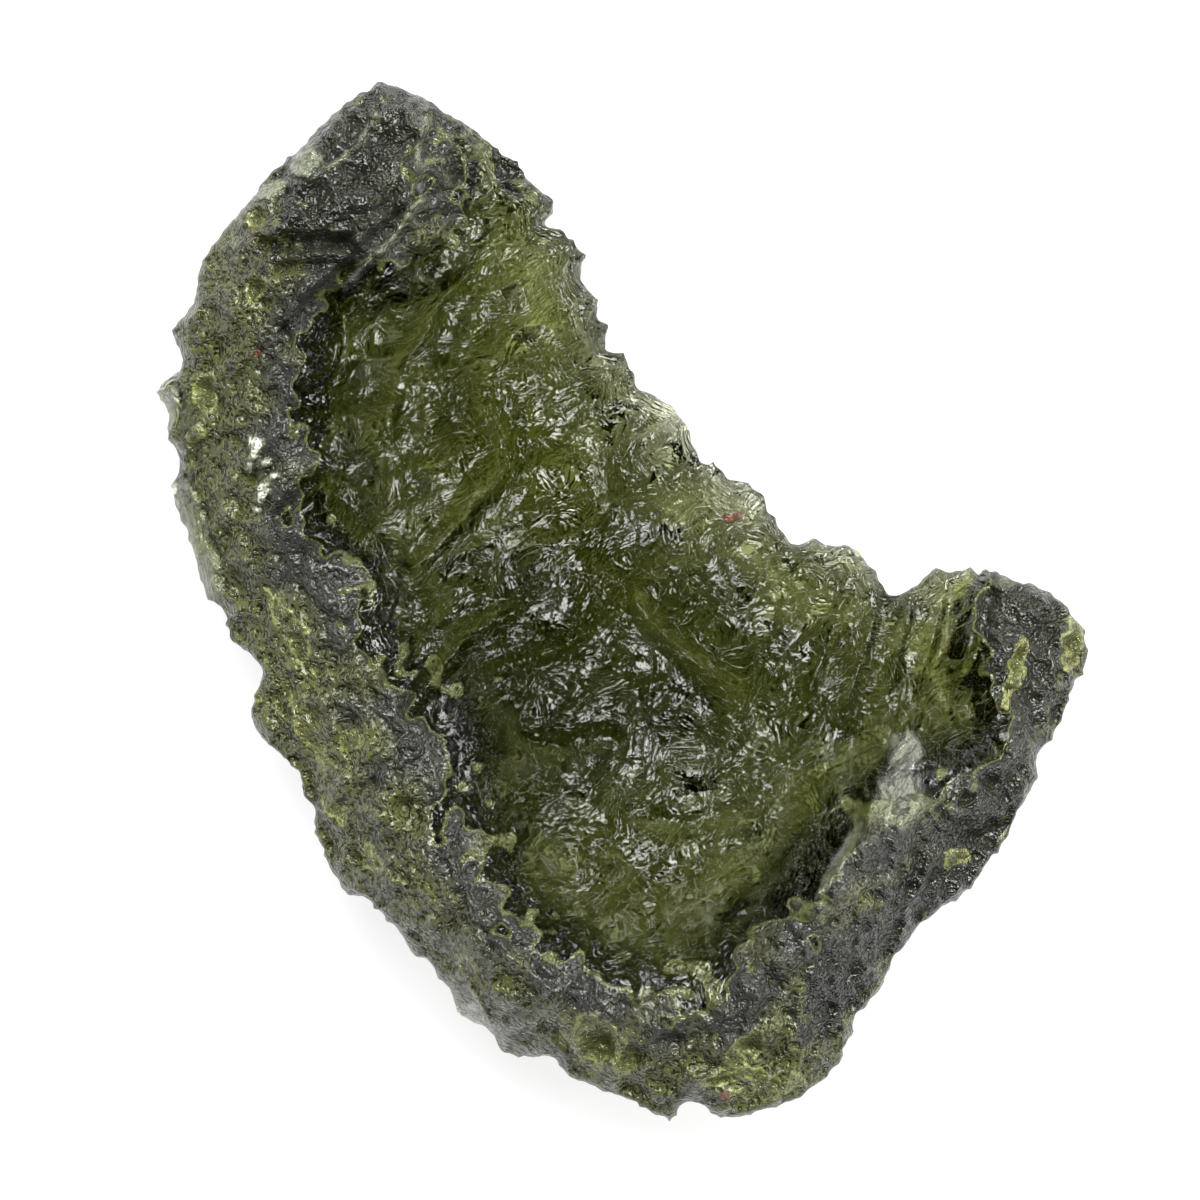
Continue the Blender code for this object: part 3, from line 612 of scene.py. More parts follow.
def upper_surface(points, depth_in):
    """Height of the side that faces up: the rim, the hollow and what is cut into them."""
    height = top_sheet(points)
    from_crest, _ = nearest_on_line(points, CREST)
    height += CREST_LIFT * np.exp(-((from_crest / CREST_WIDTH) ** 2))
    away_from_edge = smooth_step(depth_in / CUTS_FADE)
    for depth, width, line in FURROWS:
        gap, _ = nearest_on_line(points, line)
        height -= depth * np.exp(-((gap / width) ** 2)) * away_from_edge
    for high, reach, line in LEDGES:
        gap, side = nearest_on_line(points, line)
        raised = smooth_step(gap / LEDGE_FOOT) * np.exp(-gap / reach)
        height += high * np.where(side > 0, raised, 0.0) * away_from_edge
    for high, width, line in THIN_RIDGES:
        gap, _ = nearest_on_line(points, line)
        height += high * np.exp(-((gap / width) ** 2)) * away_from_edge
    for x, y, radius, depth in PITS:
        gap = np.hypot(points[:, 0] - x, points[:, 1] - y) / radius
        height -= depth * (1.0 - smooth_step(gap))
    return height


print("the hollow's middle before wrinkles, mm:", upper_surface(middle, np.array([5.0])))


# %% The underside
def lower_surface(points):
    """Height of the underside before its sculpture."""
    x, y, radius, drop = FOOT_BOSS
    gap = np.hypot(points[:, 0] - x, points[:, 1] - y) / radius
    return bottom_sheet(points) - drop * np.exp(-gap ** 4)


print("the underside's middle before wrinkles, mm:", lower_surface(middle))

# %% [markdown]
# ## The hollow's wrinkles
#
# The glossy hollow has domes on domes: broad waves, cobbles of about 1.5 mm, smaller ones of
# 0.8 mm between them, and fine flutes along their backs. These are real relief in the mesh,
# because their glints move when the stone is turned. Anything finer is left to the material.

# %% Wrinkles of the hollow
# The wrinkles are never fainter than this, and gain their full depth this far from the edge.
LEAST_RELIEF, RELIEF_FADE = 0.15, 3.5
# Cobbles: their size in mm, their height in mm, and how much their flutes' ways scatter.
BIG_COBBLE, SMALL_COBBLE = (1.5, 0.80, 1.2), (0.8, 0.28, 1.6)
# The height on a dome that counts as level.
DOME_LEVEL = 0.6


def hollow_relief(points, level, depth_in, flow):
    """The hollow's cobbles and flutes, where the small ones part, and each point's place."""
    depth = relief_sheet(points).clip(LEAST_RELIEF, 1.0)
    depth = depth * (0.5 + 0.5 * smooth_step(depth_in / RELIEF_FADE))
    big, big_rise, big_scatter = BIG_COBBLE
    small, small_rise, small_scatter = SMALL_COBBLE
    dome, edge, place = cobbles(points, big, 4, flow, big_scatter)
    small_dome, small_edge, small_place = cobbles(points, small, 9, flow, small_scatter)
    height = depth * (big_rise * (dome - DOME_LEVEL) + small_rise * (small_dome - DOME_LEVEL))
    height += 0.10 * depth * edge * flutes(place, 0.9, 0.42, 4)
    height += 0.50 * depth * lumps(level, 2.6, 5.0)
    crinkle = small_edge * (0.45 + 0.55 * smooth_step((lumps(level, 1.9, 41.0) + 0.6) / 0.7))
    return height, crinkle, small_place


level_middle = np.array([(0.0, 0.0, 0.0)])
print("relief at the hollow's middle, mm:",
      hollow_relief(middle, level_middle, np.array([5.0]), flow_angle(middle))[0])

# %% [markdown]
# ## The rim's pitted skin
#
# The rim lay open to the ground, which ate pits and short gutters into it. Its cobbles are
# larger and flatter than the hollow's, with gutters between them and small lumps on top. The
# sharp-backed noise, cubed, leaves only its thin backs, and these are cut in as gutters.

# %% Wrinkles of the rim
def rim_relief(points, level, flow):
    """The rim's broad cobbles, flutes, lumps and gutters, in mm."""
    dome, edge, place = cobbles(points, 2.4, 17, flow, 0.8)
    height = 0.30 * (dome - 0.5) + 0.20 * edge * flutes(place, 2.4, 0.6, 17)
    height += 0.26 * lumps(level, 1.1, 15.0) - 0.20 * ridges(level, 0.9, 23.0) ** 3
    return height + 0.13 * lumps(level, 0.42, 21.0)


print("relief of the rim's skin at one spot, mm:",
      rim_relief(middle, level_middle, flow_angle(middle)))

# %% [markdown]
# ## Ripples along the broken edge
#
# Where the bowl broke, the fracture left fine ripples that follow the edge, like the growth
# lines of a shell. Distance from the edge is already known, so the ripples are a sine of it,
# bent a little by noise, that dies away inwards.

# %% Ripples, and the upper side's whole relief
RIPPLE_STEP, RIPPLE_DEPTH, RIPPLE_REACH = 0.45, 0.05, 2.0
# How far the ripples and the material's contour lines wander, and how much the skin dulls them.
RIPPLE_WANDER, CONTOUR_WANDER, SKIN_DULLS = 0.35, 0.10, 0.6


def top_wrinkles(points, skin, depth_in):
    """The upper side's relief, and what the material needs to carry it on."""
    level = np.column_stack((points, np.zeros(len(points))))
    flow = flow_angle(points)
    hollow, crinkle, place = hollow_relief(points, level, depth_in, flow)
    rim = rim_relief(points, level, flow)
    wander = lumps(level, 1.3, 33.0)
    ripple = np.sin(2.0 * math.pi * (depth_in + RIPPLE_WANDER * wander) / RIPPLE_STEP)
    ripple *= RIPPLE_DEPTH * np.exp(-((depth_in / RIPPLE_REACH) ** 2)) * (1.0 - SKIN_DULLS * skin)
    contour = depth_in + RIPPLE_WANDER * wander + CONTOUR_WANDER * lumps(level, 0.6, 35.0)
    return hollow * (1.0 - skin) + rim * skin + ripple, crinkle, contour, place


print("ripples, mm:", RIPPLE_DEPTH, "deep and", RIPPLE_STEP, "apart")


# %% Wrinkles of the underside
def bottom_wrinkles(points):
    """Broad gutters and cobbles, as the sides that lay in the ground have."""
    level = np.column_stack((points, np.zeros(len(points))))
    dome, edge, place = cobbles(points, 2.2, 31, flow_angle(points), 1.4)
    gutters = 0.7 * (0.7 - ridges(level, 4.2, 3.0)) + 0.3 * lumps(level, 1.8, 7.0)
    return gutters - 0.35 * (dome - 0.5) - 0.09 * edge * flutes(place, 1.6, 0.55, 31)


print("relief under the stone's middle, mm:", bottom_wrinkles(middle))

# %% [markdown]
# ## Mirrors and chips
#
# A few cobbles have a small flat face that throws the softbox back as one bright fleck, and
# frosted chips stand a little proud. Noise never makes a flat face, so each mirror is laid
# in one by one: near its spot the height is pulled to a plane, tilted so that it meets the light.

# %% Flat mirrors and standing chips
CHIP_STAND = 0.25
# A mirror stands a little above the cobbles round it, and its border fades over this share.
MIRROR_STAND, MIRROR_FULL, MIRROR_FADE = 0.15, 0.7, 0.5


def set_pieces(points, height, frosty):
    """Lays the small mirror faces into the hollow and lets the frosty chips stand out."""
    for x, y, radius in MIRRORS:
        away = points - np.array((x, y))
        gap = np.hypot(away[:, 0], away[:, 1]) / radius
        near = 1.0 - smooth_step((gap - MIRROR_FULL) / MIRROR_FADE)
        base = float(np.average(height, weights=near + 1e-9))
        flat = base + away @ np.array(MIRROR_SLOPE) + MIRROR_STAND
        height = height + near * (flat - height)
    return height + CHIP_STAND * frosty


print("mirror faces:", len(MIRRORS))

# %% [markdown]
# ## The finish at every point
#
# The material has to know where the stone is dull, grey, glossy, frosted or rusty. A texture
# image would need the mesh unfolded, and mapping by place would smear down the walls. Mesh
# attributes are simpler: one number from 0 to 1 for each point and each finish, which the
# material's Attribute nodes read. Noise is added before the borders are drawn, so that no
# border is a smooth line.

# %% The finish at every point
# Crumbs are wholly white, and frosty chips and pale ridges a little less so.
FROSTY_SHARE, PALE_SHARE = 0.8, 0.6
# Where dullness begins, and over how much of the skin sheet it grows.
SKIN_START, SKIN_FADE = 0.30, 0.45
# The grey bloom along the crest: how wide it is, and how much of it lies in patches.
BLOOM_WIDTH, BLOOM_PATCHES = 1.7, 0.55


def pale_ridges(points, wander):
    """1 along the sharpest ridges and 0 away from them."""
    line_share = np.zeros(len(points))
    for _, width, line in THIN_RIDGES[:PALE_RIDGES]:
        gap, _ = nearest_on_line(points, line)
        line_share = np.maximum(line_share, np.exp(-((gap / width) ** 2)) * (0.5 + 0.5 * wander))
    return line_share.clip(0.0, 1.0)


def finishes(points, level, share):
    """The values from 0 to 1 that the material reads at every point."""
    wander = lumps(level, 0.45, 51.0)
    upper = smooth_step((share - 0.35) / 0.3)
    ragged = 0.22 * lumps(level, 2.2, 61.0) + 0.18 * lumps(level, 0.7, 63.0)
    from_crest, _ = nearest_on_line(points, CREST)
    bloom = np.exp(-((from_crest / BLOOM_WIDTH) ** 2)) + BLOOM_PATCHES * lumps(level, 1.8, 55.0)
    return {
        "skin": smooth_step((skin_sheet(points) + ragged - SKIN_START) / SKIN_FADE),
        "bloom": bloom.clip(0.0, 1.0),
        "glossy": ovals(points, GLOSSY, wander),
        "frosty": np.maximum.reduce([
            FROSTY_SHARE * ovals(points, FROSTY, 0.4 * wander),
            ovals(points, CRUMBS, wander),
            PALE_SHARE * pale_ridges(points, wander),
        ]) * upper,
        "window": ovals(points, WINDOWS, wander) * upper,
        "rusty": ovals(points, RUSTY, wander) * upper,
    }


print("finish in the middle:",
      {name: round(float(value[0]), 2)
       for name, value in finishes(middle, level_middle, np.ones(1)).items()})

# %% [markdown]
# ## Moulding the stone
#
# Now every point of the plate moves to its real height: the plate's upper face becomes the
# upper side, its lower face the underside, and its narrow wall the edge between them. A glass
# edge isn't square, so the two sides are drawn together near it, a lot where the glass is
# thin and only a little where it is thick. A thick edge keeps its height, because a rounded
# one would gather the light from below and glow like a lamp.

# %% The rounded edge
# How far in the rounding starts, and the share of its height that a thin and a thick edge
# keep. An edge is thin up to THIN_GLASS and thick from twice that, in mm.
NOSE_RADIUS, THIN_NOSE, THICK_NOSE, THIN_GLASS = 0.9, 0.3, 0.85, 1.5


def rounded(top, bottom, share, depth_in):
    """Heights between the two sides, which are drawn together at the edge."""
    round_in = 1.0 - (1.0 - np.clip(depth_in / NOSE_RADIUS, 0.0, 1.0)) ** 2
    least = THIN_NOSE + (THICK_NOSE - THIN_NOSE) * smooth_step((top - bottom - THIN_GLASS) / THIN_GLASS)
    nose = least + (1.0 - least) * np.sqrt(round_in)
    return 0.5 * (top + bottom) + (share - 0.5) * (top - bottom) * nose


print("the upper rim of a thin edge, 2 mm high:",
      rounded(np.array([2.0]), np.zeros(1), np.ones(1), np.zeros(1)))

# %% Both sides' heights
# Wrinkles begin at the edge and have their full depth this far in. Glass is never thinner
# than LEAST_THICKNESS.
WRINKLE_MARGIN, LEAST_THICKNESS = 0.45, 0.3


def both_sides(points, depth_in, skin):
    """The heights of the upper side and the underside, and what the material carries on."""
    inside = smooth_step(depth_in / WRINKLE_MARGIN)
    wrinkles, *carried = top_wrinkles(points, skin, depth_in)
    chips = inside * ovals(points, FROSTY + CRUMBS, np.zeros(len(points)))
    top = set_pieces(points, upper_surface(points, depth_in) + inside * wrinkles, chips)
    x, y, radius, _ = FOOT_BOSS
    from_boss = smooth_step(np.hypot(points[:, 0] - x, points[:, 1] - y) / radius - 0.7)
    bottom = lower_surface(points) + inside * from_boss * bottom_wrinkles(points)
    return top, np.minimum(bottom, top - LEAST_THICKNESS), carried


print("wrinkles start", WRINKLE_MARGIN, "mm from the edge")


# %% Give every point its height
def read_plate(mesh):
    """The plate's points seen from above, and how far up the plate each lies, from 0 to 1."""
    flat = np.empty(len(mesh.vertices) * 3, np.float32)
    mesh.vertices.foreach_get("co", flat)
    flat = flat.reshape(-1, 3).astype(float)
    return flat[:, :2], np.clip(flat[:, 2] / PLATE_THICKNESS + 0.5, 0.0, 1.0)


def store(mesh, values, place):
    """Keeps the finishes, and each point's place on its cobble, as mesh attributes."""
    for name, value in values.items():
        kept = mesh.attributes.new(name, "FLOAT", "POINT")
        kept.data.foreach_set("value", value.astype(np.float32))
    kept = mesh.attributes.new("place", "FLOAT_VECTOR", "POINT")
    kept.data.foreach_set("vector", place.astype(np.float32).ravel())


def mould(mesh):
    """Gives every point of the plate its real height, and its finish."""
    points, share = read_plate(mesh)
    level = np.column_stack((points, np.zeros(len(points))))
    depth_in, _ = nearest_on_line(points, OUTLINE, closed=True)
    finish = finishes(points, level, share)
    top, bottom, carried = both_sides(points, depth_in, finish["skin"])
    finish["crinkle"], finish["contour"], place = carried
    height = rounded(top, bottom, share, depth_in)
    moulded = np.column_stack((points, np.maximum(height, 0.0))) * MM
    mesh.vertices.foreach_set("co", moulded.astype(np.float32).ravel())
    store(mesh, finish, np.column_stack((place, height)))
    mesh.update()
    return height


height = mould(stone_mesh)
print("heights, mm:", round(float(height.min()), 2), "to", round(float(height.max()), 2))

# %% [markdown]
# ## A budget of triangles
#
# The plate is even, but the stone isn't: flat parts have more triangles than they need. The
# Decimate modifier takes triangles away where they matter least. Attributes survive it, and
# the sharp valleys do too, while a coarser plate would have blurred them all.

# %% Thin the mesh to its budget
stone = bpy.data.objects.new("moldavite_stone", stone_mesh)
bpy.context.scene.collection.objects.link(stone)
STONE_TRIANGLES = 190000


def thin_out(piece, triangles):
    """Takes faces away until the piece has no more than so many triangles."""
    piece.data.calc_loop_triangles()
    have = len(piece.data.loop_triangles)
    if have <= triangles:
        return
    thin = piece.modifiers.new("fewer_faces", "DECIMATE")
    thin.ratio = triangles / have
    graph = bpy.context.evaluated_depsgraph_get()
    mesh = bpy.data.meshes.new_from_object(piece.evaluated_get(graph))
    piece.modifiers.clear()
    piece.data = mesh


thin_out(stone, STONE_TRIANGLES)
stone.data.shade_smooth()
stone.data.calc_loop_triangles()
print("the stone has", len(stone.data.loop_triangles), "triangles")

# %% [markdown]
# ## Glass that is green inside
#
# Moldavite is green right through: light that travels further inside it comes out darker. A
# green surface colour would look like paint, so the colour comes from a Volume Absorption,
# which takes away blue first, and the surface of the hollow stays clear. The values are
# numbers on the nodes' own sockets, so that they can be read back from the material.

# %% Glass values
IOR = 1.49
# The share of red, green and blue light that isn't lost, and how fast it is lost per metre.
ABSORPTION_COLOUR = (0.45, 0.49, 0.04, 1.0)
ABSORPTION_DENSITY = 1000.0
print("red, green and blue lost per mm:",
      [round((1.0 - share) * ABSORPTION_DENSITY * MM, 2) for share in ABSORPTION_COLOUR[:3]])

# %% [markdown]
# ## Short words for nodes
#
# A material is a web of nodes, and each takes a few lines to add, set and link. Drawing the
# web by hand in the Shader Editor works as well, but a script can be run again. Five short
# helpers keep the recipes below readable: add a node, read a finish from the mesh, do sums,
# spread a range over 0 to 1, and mix two numbers or two colours.

# %% Small helpers for node trees
def put(tree, kind, inputs=(), **settings):
    """Adds a node. An input is a number, a colour or another node's output."""
    node = tree.nodes.new(kind)
    for name, value in settings.items():
        setattr(node, name, value)
    for slot, value in dict(inputs).items():
        if isinstance(value, bpy.types.NodeSocket):
            tree.links.new(value, node.inputs[slot])
        else:
            node.inputs[slot].default_value = value
    return node


def stored(tree, name):
    """A number that is kept on the mesh at every point."""
    return put(tree, "ShaderNodeAttribute", attribute_name=name).outputs["Fac"]


def maths(tree, what, first, second):
    return put(tree, "ShaderNodeMath", {0: first, 1: second}, operation=what).outputs[0]


def grown(tree, value, start, end):
    """0 where a value is at start or below, 1 where it is at end or above."""
    return put(tree, "ShaderNodeMapRange",
               {"Value": value, "From Min": start, "From Max": end}).outputs[0]


def blend(tree, share, low, high):
    """A number between low and high."""
    return put(tree, "ShaderNodeMix", {0: share, 2: low, 3: high}).outputs[0]


def tinted(tree, share, low, high):
    """A colour between low and high."""
    sockets = bpy.types.NodeSocket
    low, high = (end if isinstance(end, sockets) else (*end, 1.0) for end in (low, high))
    mix = put(tree, "ShaderNodeMix", {0: share, 6: low, 7: high}, data_type="RGBA")
    return mix.outputs[2]


print("finishes on the mesh:", [kept.name for kept in stone.data.attributes if kept.domain == "POINT"])

# %% [markdown]
# ## Relief finer than the mesh
#
# On top of the cobbles the hollow has glossy pebbles of a quarter of a millimetre, and its
# glints are broken up by them. In the mesh they would take millions of triangles, so they are
# a bump. A Voronoi texture makes them, in each cobble's own coordinates, so that they follow
# its turn. The fringe has contour lines, and the rim is pitted: a noise that is cut off at
# the top leaves flat ground with holes. Few octaves of noise keep the glints crisp.

# %% The fine relief
# Pebbles on the hollow's cobbles and the grain of the rim, per millimetre.
PEBBLES_ALONG, PEBBLES_ACROSS, GRAIN = 4.2, 6.2, 5.0
BUMP_DISTANCE = 0.10 * MM
# Contour lines round the fringe: how many per millimetre, and how far in they reach.
CONTOURS, CONTOUR_REACH, CONTOUR_HEIGHT = 3.6, 2.6, 0.28
# Grain below PIT_FLOOR is the floor of a pit, and above PIT_RIM it is level ground.
PIT_FLOOR, PIT_RIM = 0.34, 0.50
# How high the grain stands in the hollow and on the rim, and the rim's share of the bump.
HOLLOW_GRAIN, RIM_GRAIN, RIM_SHARE = 0.40, 1.6, 0.7


def pebbles(tree):
    """Rounded bumps in each cobble's own coordinates, with valleys between them."""
    place = put(tree, "ShaderNodeAttribute", attribute_name="place").outputs["Vector"]
    scaled = put(tree, "ShaderNodeVectorMath",
                 {0: place, 1: (PEBBLES_ALONG, PEBBLES_ACROSS, 1.0)}, operation="MULTIPLY")
    cells = put(tree, "ShaderNodeTexVoronoi", {"Vector": scaled.outputs[0], "Scale": 1.0},
                voronoi_dimensions="2D")
    sunk = maths(tree, "MULTIPLY", cells.outputs["Distance"], cells.outputs["Distance"])
    return maths(tree, "MULTIPLY", sunk, maths(tree, "MULTIPLY", stored(tree, "crinkle"), -1.0))


def grain_noise(tree):
    spot = put(tree, "ShaderNodeTexCoord").outputs["Object"]
    grain = put(tree, "ShaderNodeTexNoise",
                {"Vector": spot, "Scale": GRAIN / MM, "Detail": 1.0, "Roughness": 0.55})
    return grain.outputs["Fac"]


def contour_lines(tree, ground):
    """The ground with fine waves on it that follow the edge and fade inwards."""
    contour = stored(tree, "contour")
    wave = maths(tree, "SINE", maths(tree, "MULTIPLY", contour, 2.0 * math.pi * CONTOURS), 0.0)
    fade = put(tree, "ShaderNodeMapRange",
               {"Value": contour, "From Max": CONTOUR_REACH, "To Min": CONTOUR_HEIGHT, "To Max": 0.0})
    return put(tree, "ShaderNodeMath", {0: wave, 1: fade.outputs[0], 2: ground},
               operation="MULTIPLY_ADD").outputs[0]


def fine_relief(tree, skin):
    """The surface's direction with the fine relief on it, and how level the rim's ground is."""
    grain = grain_noise(tree)
    speckled = put(tree, "ShaderNodeMath", {0: grain, 1: HOLLOW_GRAIN, 2: pebbles(tree)},
                   operation="MULTIPLY_ADD")
    level_ground = grown(tree, grain, PIT_FLOOR, PIT_RIM)
    pitted = put(tree, "ShaderNodeMath", {0: grain, 1: RIM_GRAIN, 2: level_ground},
                 operation="MULTIPLY_ADD")
    height = blend(tree, skin, contour_lines(tree, speckled.outputs[0]),
                   maths(tree, "MULTIPLY", pitted.outputs[0], RIM_SHARE))
    bump = put(tree, "ShaderNodeBump", {"Distance": BUMP_DISTANCE, "Height": height})
    return bump.outputs["Normal"], level_ground


print("pebbles, mm:", round(1.0 / PEBBLES_ALONG, 2), "by", round(1.0 / PEBBLES_ACROSS, 2))

# %% [markdown]
# ## The colour of the skin
#
# The skin is olive far from the crest and grey on it, almost black on the broken facets, and
# there are the white, green and rusty spots. Its pits are darkened with painted shade, since
# the broad lamps shade them too little. Each colour is laid over the one before with a Mix
# node, by the share that the mesh holds. Where the skin begins it is thin, and the glass shows
# through, so its first colour is a light one: a dark colour on glass that still lets light in
# would make a black band.

# %% The colour of the surface
CLEAR = (1.0, 1.0, 1.0)
OLIVE_SKIN, GREY_SKIN = (0.120, 0.128, 0.042), (0.033, 0.033, 0.030)
# The first colour on the next line is painted shade: the skin's pits are coloured dark, as if they lay
# in shadow.
PAINTED_PIT_SHADE, DARK_FACE = (0.026, 0.028, 0.012), (0.020, 0.021, 0.016)
# The thin start of the skin, through which the glass still shows.
FIRST_SKIN = (0.42, 0.46, 0.16)
FROST, CRUMB = (0.46, 0.50, 0.32), (0.85, 0.87, 0.74)
WINDOW, RUST = (0.85, 0.90, 0.32), (0.14, 0.065, 0.038)
# How much of the skin value it takes to reach the first colour and the rim's own, and how
# much of the rust value to be all rust. Frost is thinner in the pits.
FIRST_FULL, RIM_FULL, RUST_FULL, PIT_FROST = 0.12, 0.42, 0.25, 0.35


def skin_colour(tree, skin, level_ground):
    """White where the glass is bare, then the thin start of the skin, then the rim's own, with painted
    shade in its pits.
    """
    rim = tinted(tree, stored(tree, "bloom"), OLIVE_SKIN, GREY_SKIN)
    rim = tinted(tree, stored(tree, "glossy"), rim, DARK_FACE)
    # Painted shade: the skin goes dark where the grain sinks into a pit.
    rim = tinted(tree, level_ground, PAINTED_PIT_SHADE, rim)
    colour = tinted(tree, grown(tree, skin, 0.0, FIRST_FULL), CLEAR, FIRST_SKIN)
    return tinted(tree, grown(tree, skin, FIRST_FULL, RIM_FULL), colour, rim)


def spot_colours(tree, colour, frosted, crumbs):
    """The windows, the frost, the crumbs and the rust, laid over the skin."""
    colour = tinted(tree, stored(tree, "window"), colour, WINDOW)
    colour = tinted(tree, frosted, colour, tinted(tree, crumbs, FROST, CRUMB))
    return tinted(tree, grown(tree, stored(tree, "rusty"), 0.0, RUST_FULL), colour, RUST)


print("skin colours:", {"olive": OLIVE_SKIN, "grey": GREY_SKIN, "pits": PAINTED_PIT_SHADE})

# %% [markdown]
# ## How clear and how glossy
#
# Bare glass lets all light in and is almost as smooth as a mirror. The skin stops most of it:
# more on the grey crest than on the olive sides, which glow a little. Transmission and
# roughness are blended by the same shares as the colours, so that a finish changes in every
# way at the same place.

# %% Clearness and gloss
# The share of light that each finish lets in.
OLIVE_CLEAR, GREY_CLEAR, WINDOW_CLEAR, FROST_CLEAR, CRUMB_CLEAR = 0.40, 0.15, 0.92, 0.72, 0.30
# The skin value at which it begins to stop light, and at which it stops all that it can.
COVER_START, COVER_FULL = 0.12, 0.5
BARE_ROUGH, OLIVE_ROUGH, GREY_ROUGH, FACE_ROUGH, FROST_ROUGH = 0.05, 0.16, 0.26, 0.13, 0.25


def clearness(tree, skin, frosted, crumbs):
    under_skin = blend(tree, stored(tree, "bloom"), OLIVE_CLEAR, GREY_CLEAR)
    clear = blend(tree, grown(tree, skin, COVER_START, COVER_FULL), 1.0, under_skin)
    clear = blend(tree, stored(tree, "window"), clear, WINDOW_CLEAR)
    clear = blend(tree, frosted, clear, blend(tree, crumbs, FROST_CLEAR, CRUMB_CLEAR))
    return blend(tree, stored(tree, "rusty"), clear, 0.0)


def dullness(tree, skin, frosty):
    weathered = blend(tree, stored(tree, "bloom"), OLIVE_ROUGH, GREY_ROUGH)
    weathered = blend(tree, stored(tree, "glossy"), weathered, FACE_ROUGH)
    return blend(tree, frosty, blend(tree, skin, BARE_ROUGH, weathered), FROST_ROUGH)


print("roughness from", BARE_ROUGH, "in the hollow to", GREY_ROUGH, "on the crest")


# %% The glass
def glass():
    """Clear glass with absorption inside, and the stone's skin over it."""
    material = bpy.data.materials.new("clear_moldavite")
    material.use_nodes = True
    tree = material.node_tree
    shader = tree.nodes["Principled BSDF"]
    shader.inputs["IOR"].default_value = IOR
    skin, frosty = stored(tree, "skin"), stored(tree, "frosty")
    normal, level_ground = fine_relief(tree, skin)
    frosted = maths(tree, "MULTIPLY", frosty, blend(tree, level_ground, PIT_FROST, 1.0))
    crumbs = grown(tree, frosty, FROSTY_SHARE, 1.0)
    colour = spot_colours(tree, skin_colour(tree, skin, level_ground), frosted, crumbs)
    tree.links.new(normal, shader.inputs["Normal"])
    tree.links.new(colour, shader.inputs["Base Color"])
    tree.links.new(clearness(tree, skin, frosted, crumbs), shader.inputs["Transmission Weight"])
    tree.links.new(dullness(tree, skin, frosty), shader.inputs["Roughness"])
    absorb = put(tree, "ShaderNodeVolumeAbsorption",
                 {"Color": ABSORPTION_COLOUR, "Density": ABSORPTION_DENSITY})
    tree.links.new(absorb.outputs[0], tree.nodes["Material Output"].inputs["Volume"])
    return material


stone.data.materials.clear()
stone.data.materials.append(glass())
print("the stone's material:", stone.data.materials[0].name)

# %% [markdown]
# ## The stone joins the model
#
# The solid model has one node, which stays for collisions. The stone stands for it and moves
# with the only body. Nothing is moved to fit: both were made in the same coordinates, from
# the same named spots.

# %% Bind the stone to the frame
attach(stone, "root")
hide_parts("moldavite")
print(stone.name, "stands for the node moldavite")

# %% [markdown]
# ## A floor that glows
#
# Such stones are photographed on a bright white surface that fills thin glass with light. A
# floor lit only from above would lie in the stone's own shadow, and the glass would go black.
# So the floor glows a little. It has no gloss of its own and isn't sampled as a lamp: neither
# shows in the picture, and both would take time.

# %% Floor
FLOOR_RADIUS, FLOOR_CORNERS = 1.5, 96
FLOOR_GREY, FLOOR_GLOW, FLOOR_ROUGH = 0.25, 0.85, 0.8


def floor():
    """A round pale floor that gives off light."""
    bpy.ops.mesh.primitive_circle_add(vertices=FLOOR_CORNERS, radius=FLOOR_RADIUS, fill_type="NGON")
    ground = bpy.context.active_object
    ground.name = "floor"
    material = bpy.data.materials.new("pale_floor")
    material.use_nodes = True
    shader = material.node_tree.nodes["Principled BSDF"]
    shader.inputs["Base Color"].default_value = (FLOOR_GREY, FLOOR_GREY, FLOOR_GREY, 1.0)
    shader.inputs["Roughness"].default_value = FLOOR_ROUGH
    shader.inputs["Specular IOR Level"].default_value = 0.0
    shader.inputs["Emission Color"].default_value = (1.0, 1.0, 1.0, 1.0)
    shader.inputs["Emission Strength"].default_value = FLOOR_GLOW
    material.cycles.emission_sampling = "NONE"
    ground.data.materials.append(material)
    return ground


floor()
print("the floor glows at", FLOOR_GLOW)

# %% [markdown]
# ## Soft lights
#
# The glints in the hollow are pictures of the lamps, so the lamps are broad rectangles. The
# largest hangs above, towards the tip. A second lights the walls that face right, and a low
# one the inner side of the foot, which would have no glints without it. Point lamps would
# give hard specks. A lamp's light is followed for two bounces only: deeper inside the green
# glass it adds nothing that can be seen.

# %% Lights
LAMP_BOUNCES = 2


def soft_light(name, place, size, power):
    """A rectangular lamp at a place in metres, turned towards the stone."""
    lamp = bpy.data.lights.new(name, "AREA")
    lamp.shape = "RECTANGLE"
    lamp.size, lamp.size_y = size
    lamp.energy = power
    lamp.cycles.max_bounces = LAMP_BOUNCES
    holder = bpy.data.objects.new(name, lamp)
    bpy.context.scene.collection.objects.link(holder)
    holder.location = place
    holder.rotation_euler = (-Vector(place)).to_track_quat("-Z", "Y").to_euler()
    return holder


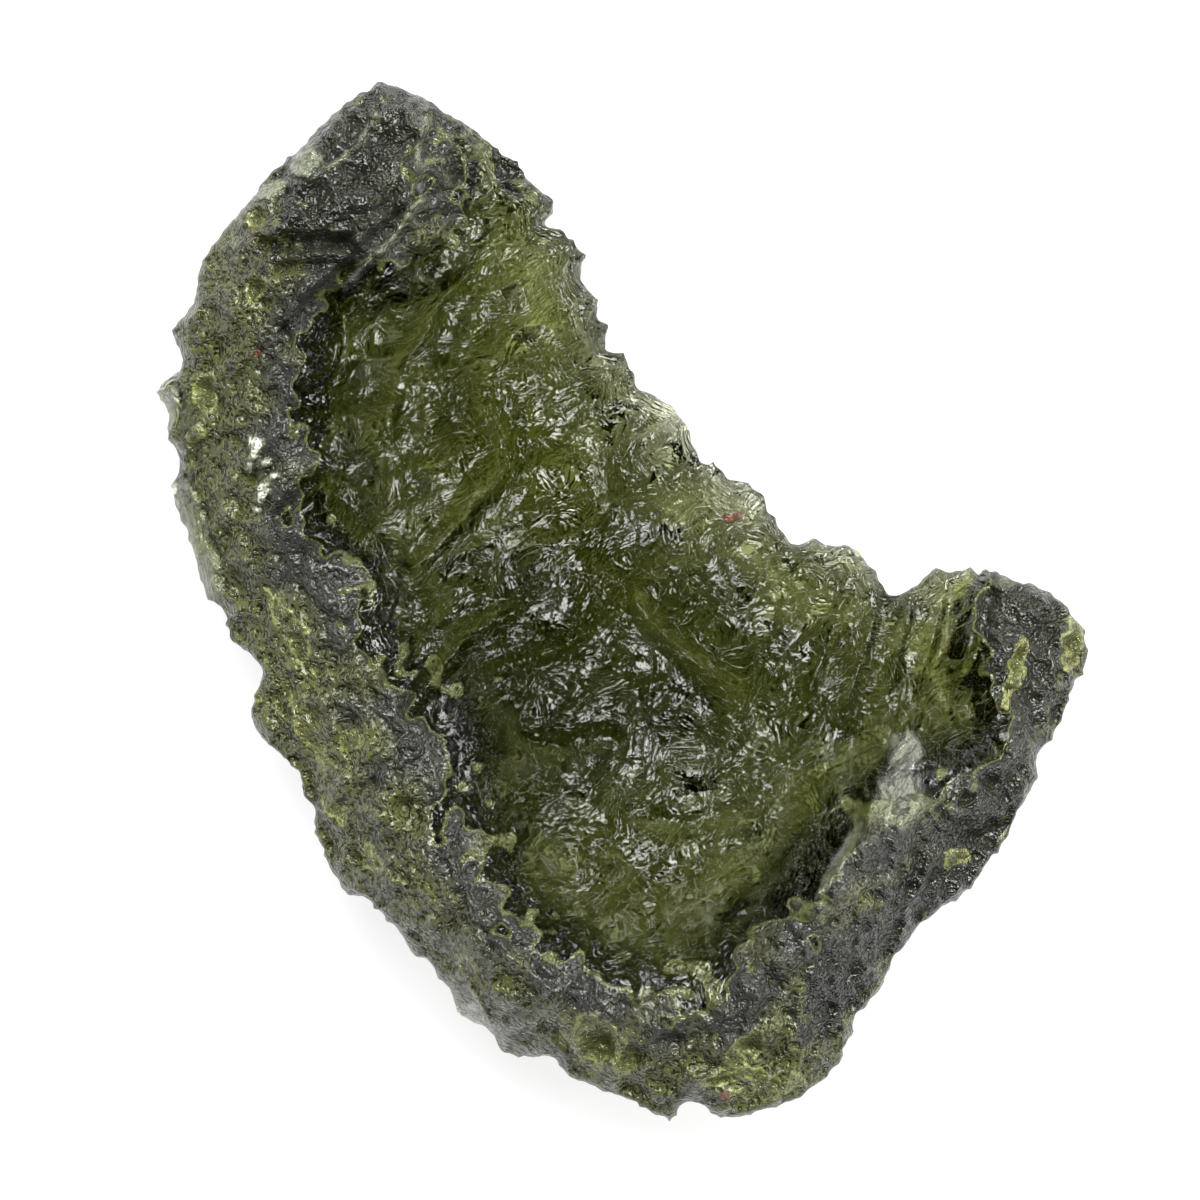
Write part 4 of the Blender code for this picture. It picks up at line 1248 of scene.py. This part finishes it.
soft_light("overhead_softbox", (0.04, 0.20, 0.45), (0.45, 0.30), 6.5)
soft_light("side_softbox", (0.38, 0.0, 0.36), (0.28, 0.28), 1.8)
soft_light("low_softbox", (-0.06, 0.42, 0.24), (0.34, 0.14), 1.2)

# %% [markdown]
# ## The room round the stone
#
# Wherever a glossy cobble doesn't mirror a lamp, it mirrors the room. A bright room would
# veil the green with white. So the room is dark above and lighter towards the horizon, and
# only the walls of the stone pick up that grey. A plain sweep of grey needs no sampling as a
# lamp either.

# %% The dark studio above, lighter towards the horizon
HIGH_GREY, LOW_GREY = 0.03, 0.20


def studio():
    """A grey room, darker above."""
    world = bpy.data.worlds.new("studio")
    world.use_nodes = True
    tree = world.node_tree
    way = put(tree, "ShaderNodeTexCoord").outputs["Generated"]
    up = put(tree, "ShaderNodeSeparateXYZ", {0: way}).outputs["Z"]
    grey = put(tree, "ShaderNodeMapRange",
               {"Value": up, "From Min": 0.05, "From Max": 0.5, "To Min": LOW_GREY,
                "To Max": HIGH_GREY})
    tree.links.new(grey.outputs[0], tree.nodes["Background"].inputs["Color"])
    world.cycles.sampling_method = "NONE"
    return world


bpy.context.scene.world = studio()
print("the room's greys:", HIGH_GREY, "above and", LOW_GREY, "low down")

# %% [markdown]
# ## The camera
#
# The stone was photographed from straight above, from so far that its high rim isn't drawn
# larger than its edge. The camera hangs 300 mm above the rim's middle height, and its lens is
# as long as it takes to see a square 48 mm wide there.

# %% Camera
# In millimetres: the width that is seen, its middle, the height where that width is true,
# and how far above it the camera is.
FRAME_WIDTH, SENSOR_WIDTH = 48.0, 36.0
FRAME_MIDDLE = (-0.96, 0.0)
TRUE_HEIGHT = 5.5
CAMERA_DISTANCE = 300.0

lens = bpy.data.cameras.new("camera")
lens.sensor_width = SENSOR_WIDTH
lens.lens = SENSOR_WIDTH * CAMERA_DISTANCE / FRAME_WIDTH
lens.clip_start = 0.01
lens.clip_end = 10.0
camera = bpy.data.objects.new("camera", lens)
bpy.context.scene.collection.objects.link(camera)
camera.location = Vector((*FRAME_MIDDLE, TRUE_HEIGHT + CAMERA_DISTANCE)) * MM
bpy.context.scene.camera = camera
bpy.context.scene.view_settings.view_transform = "Standard"
print("lens, mm:", lens.lens)
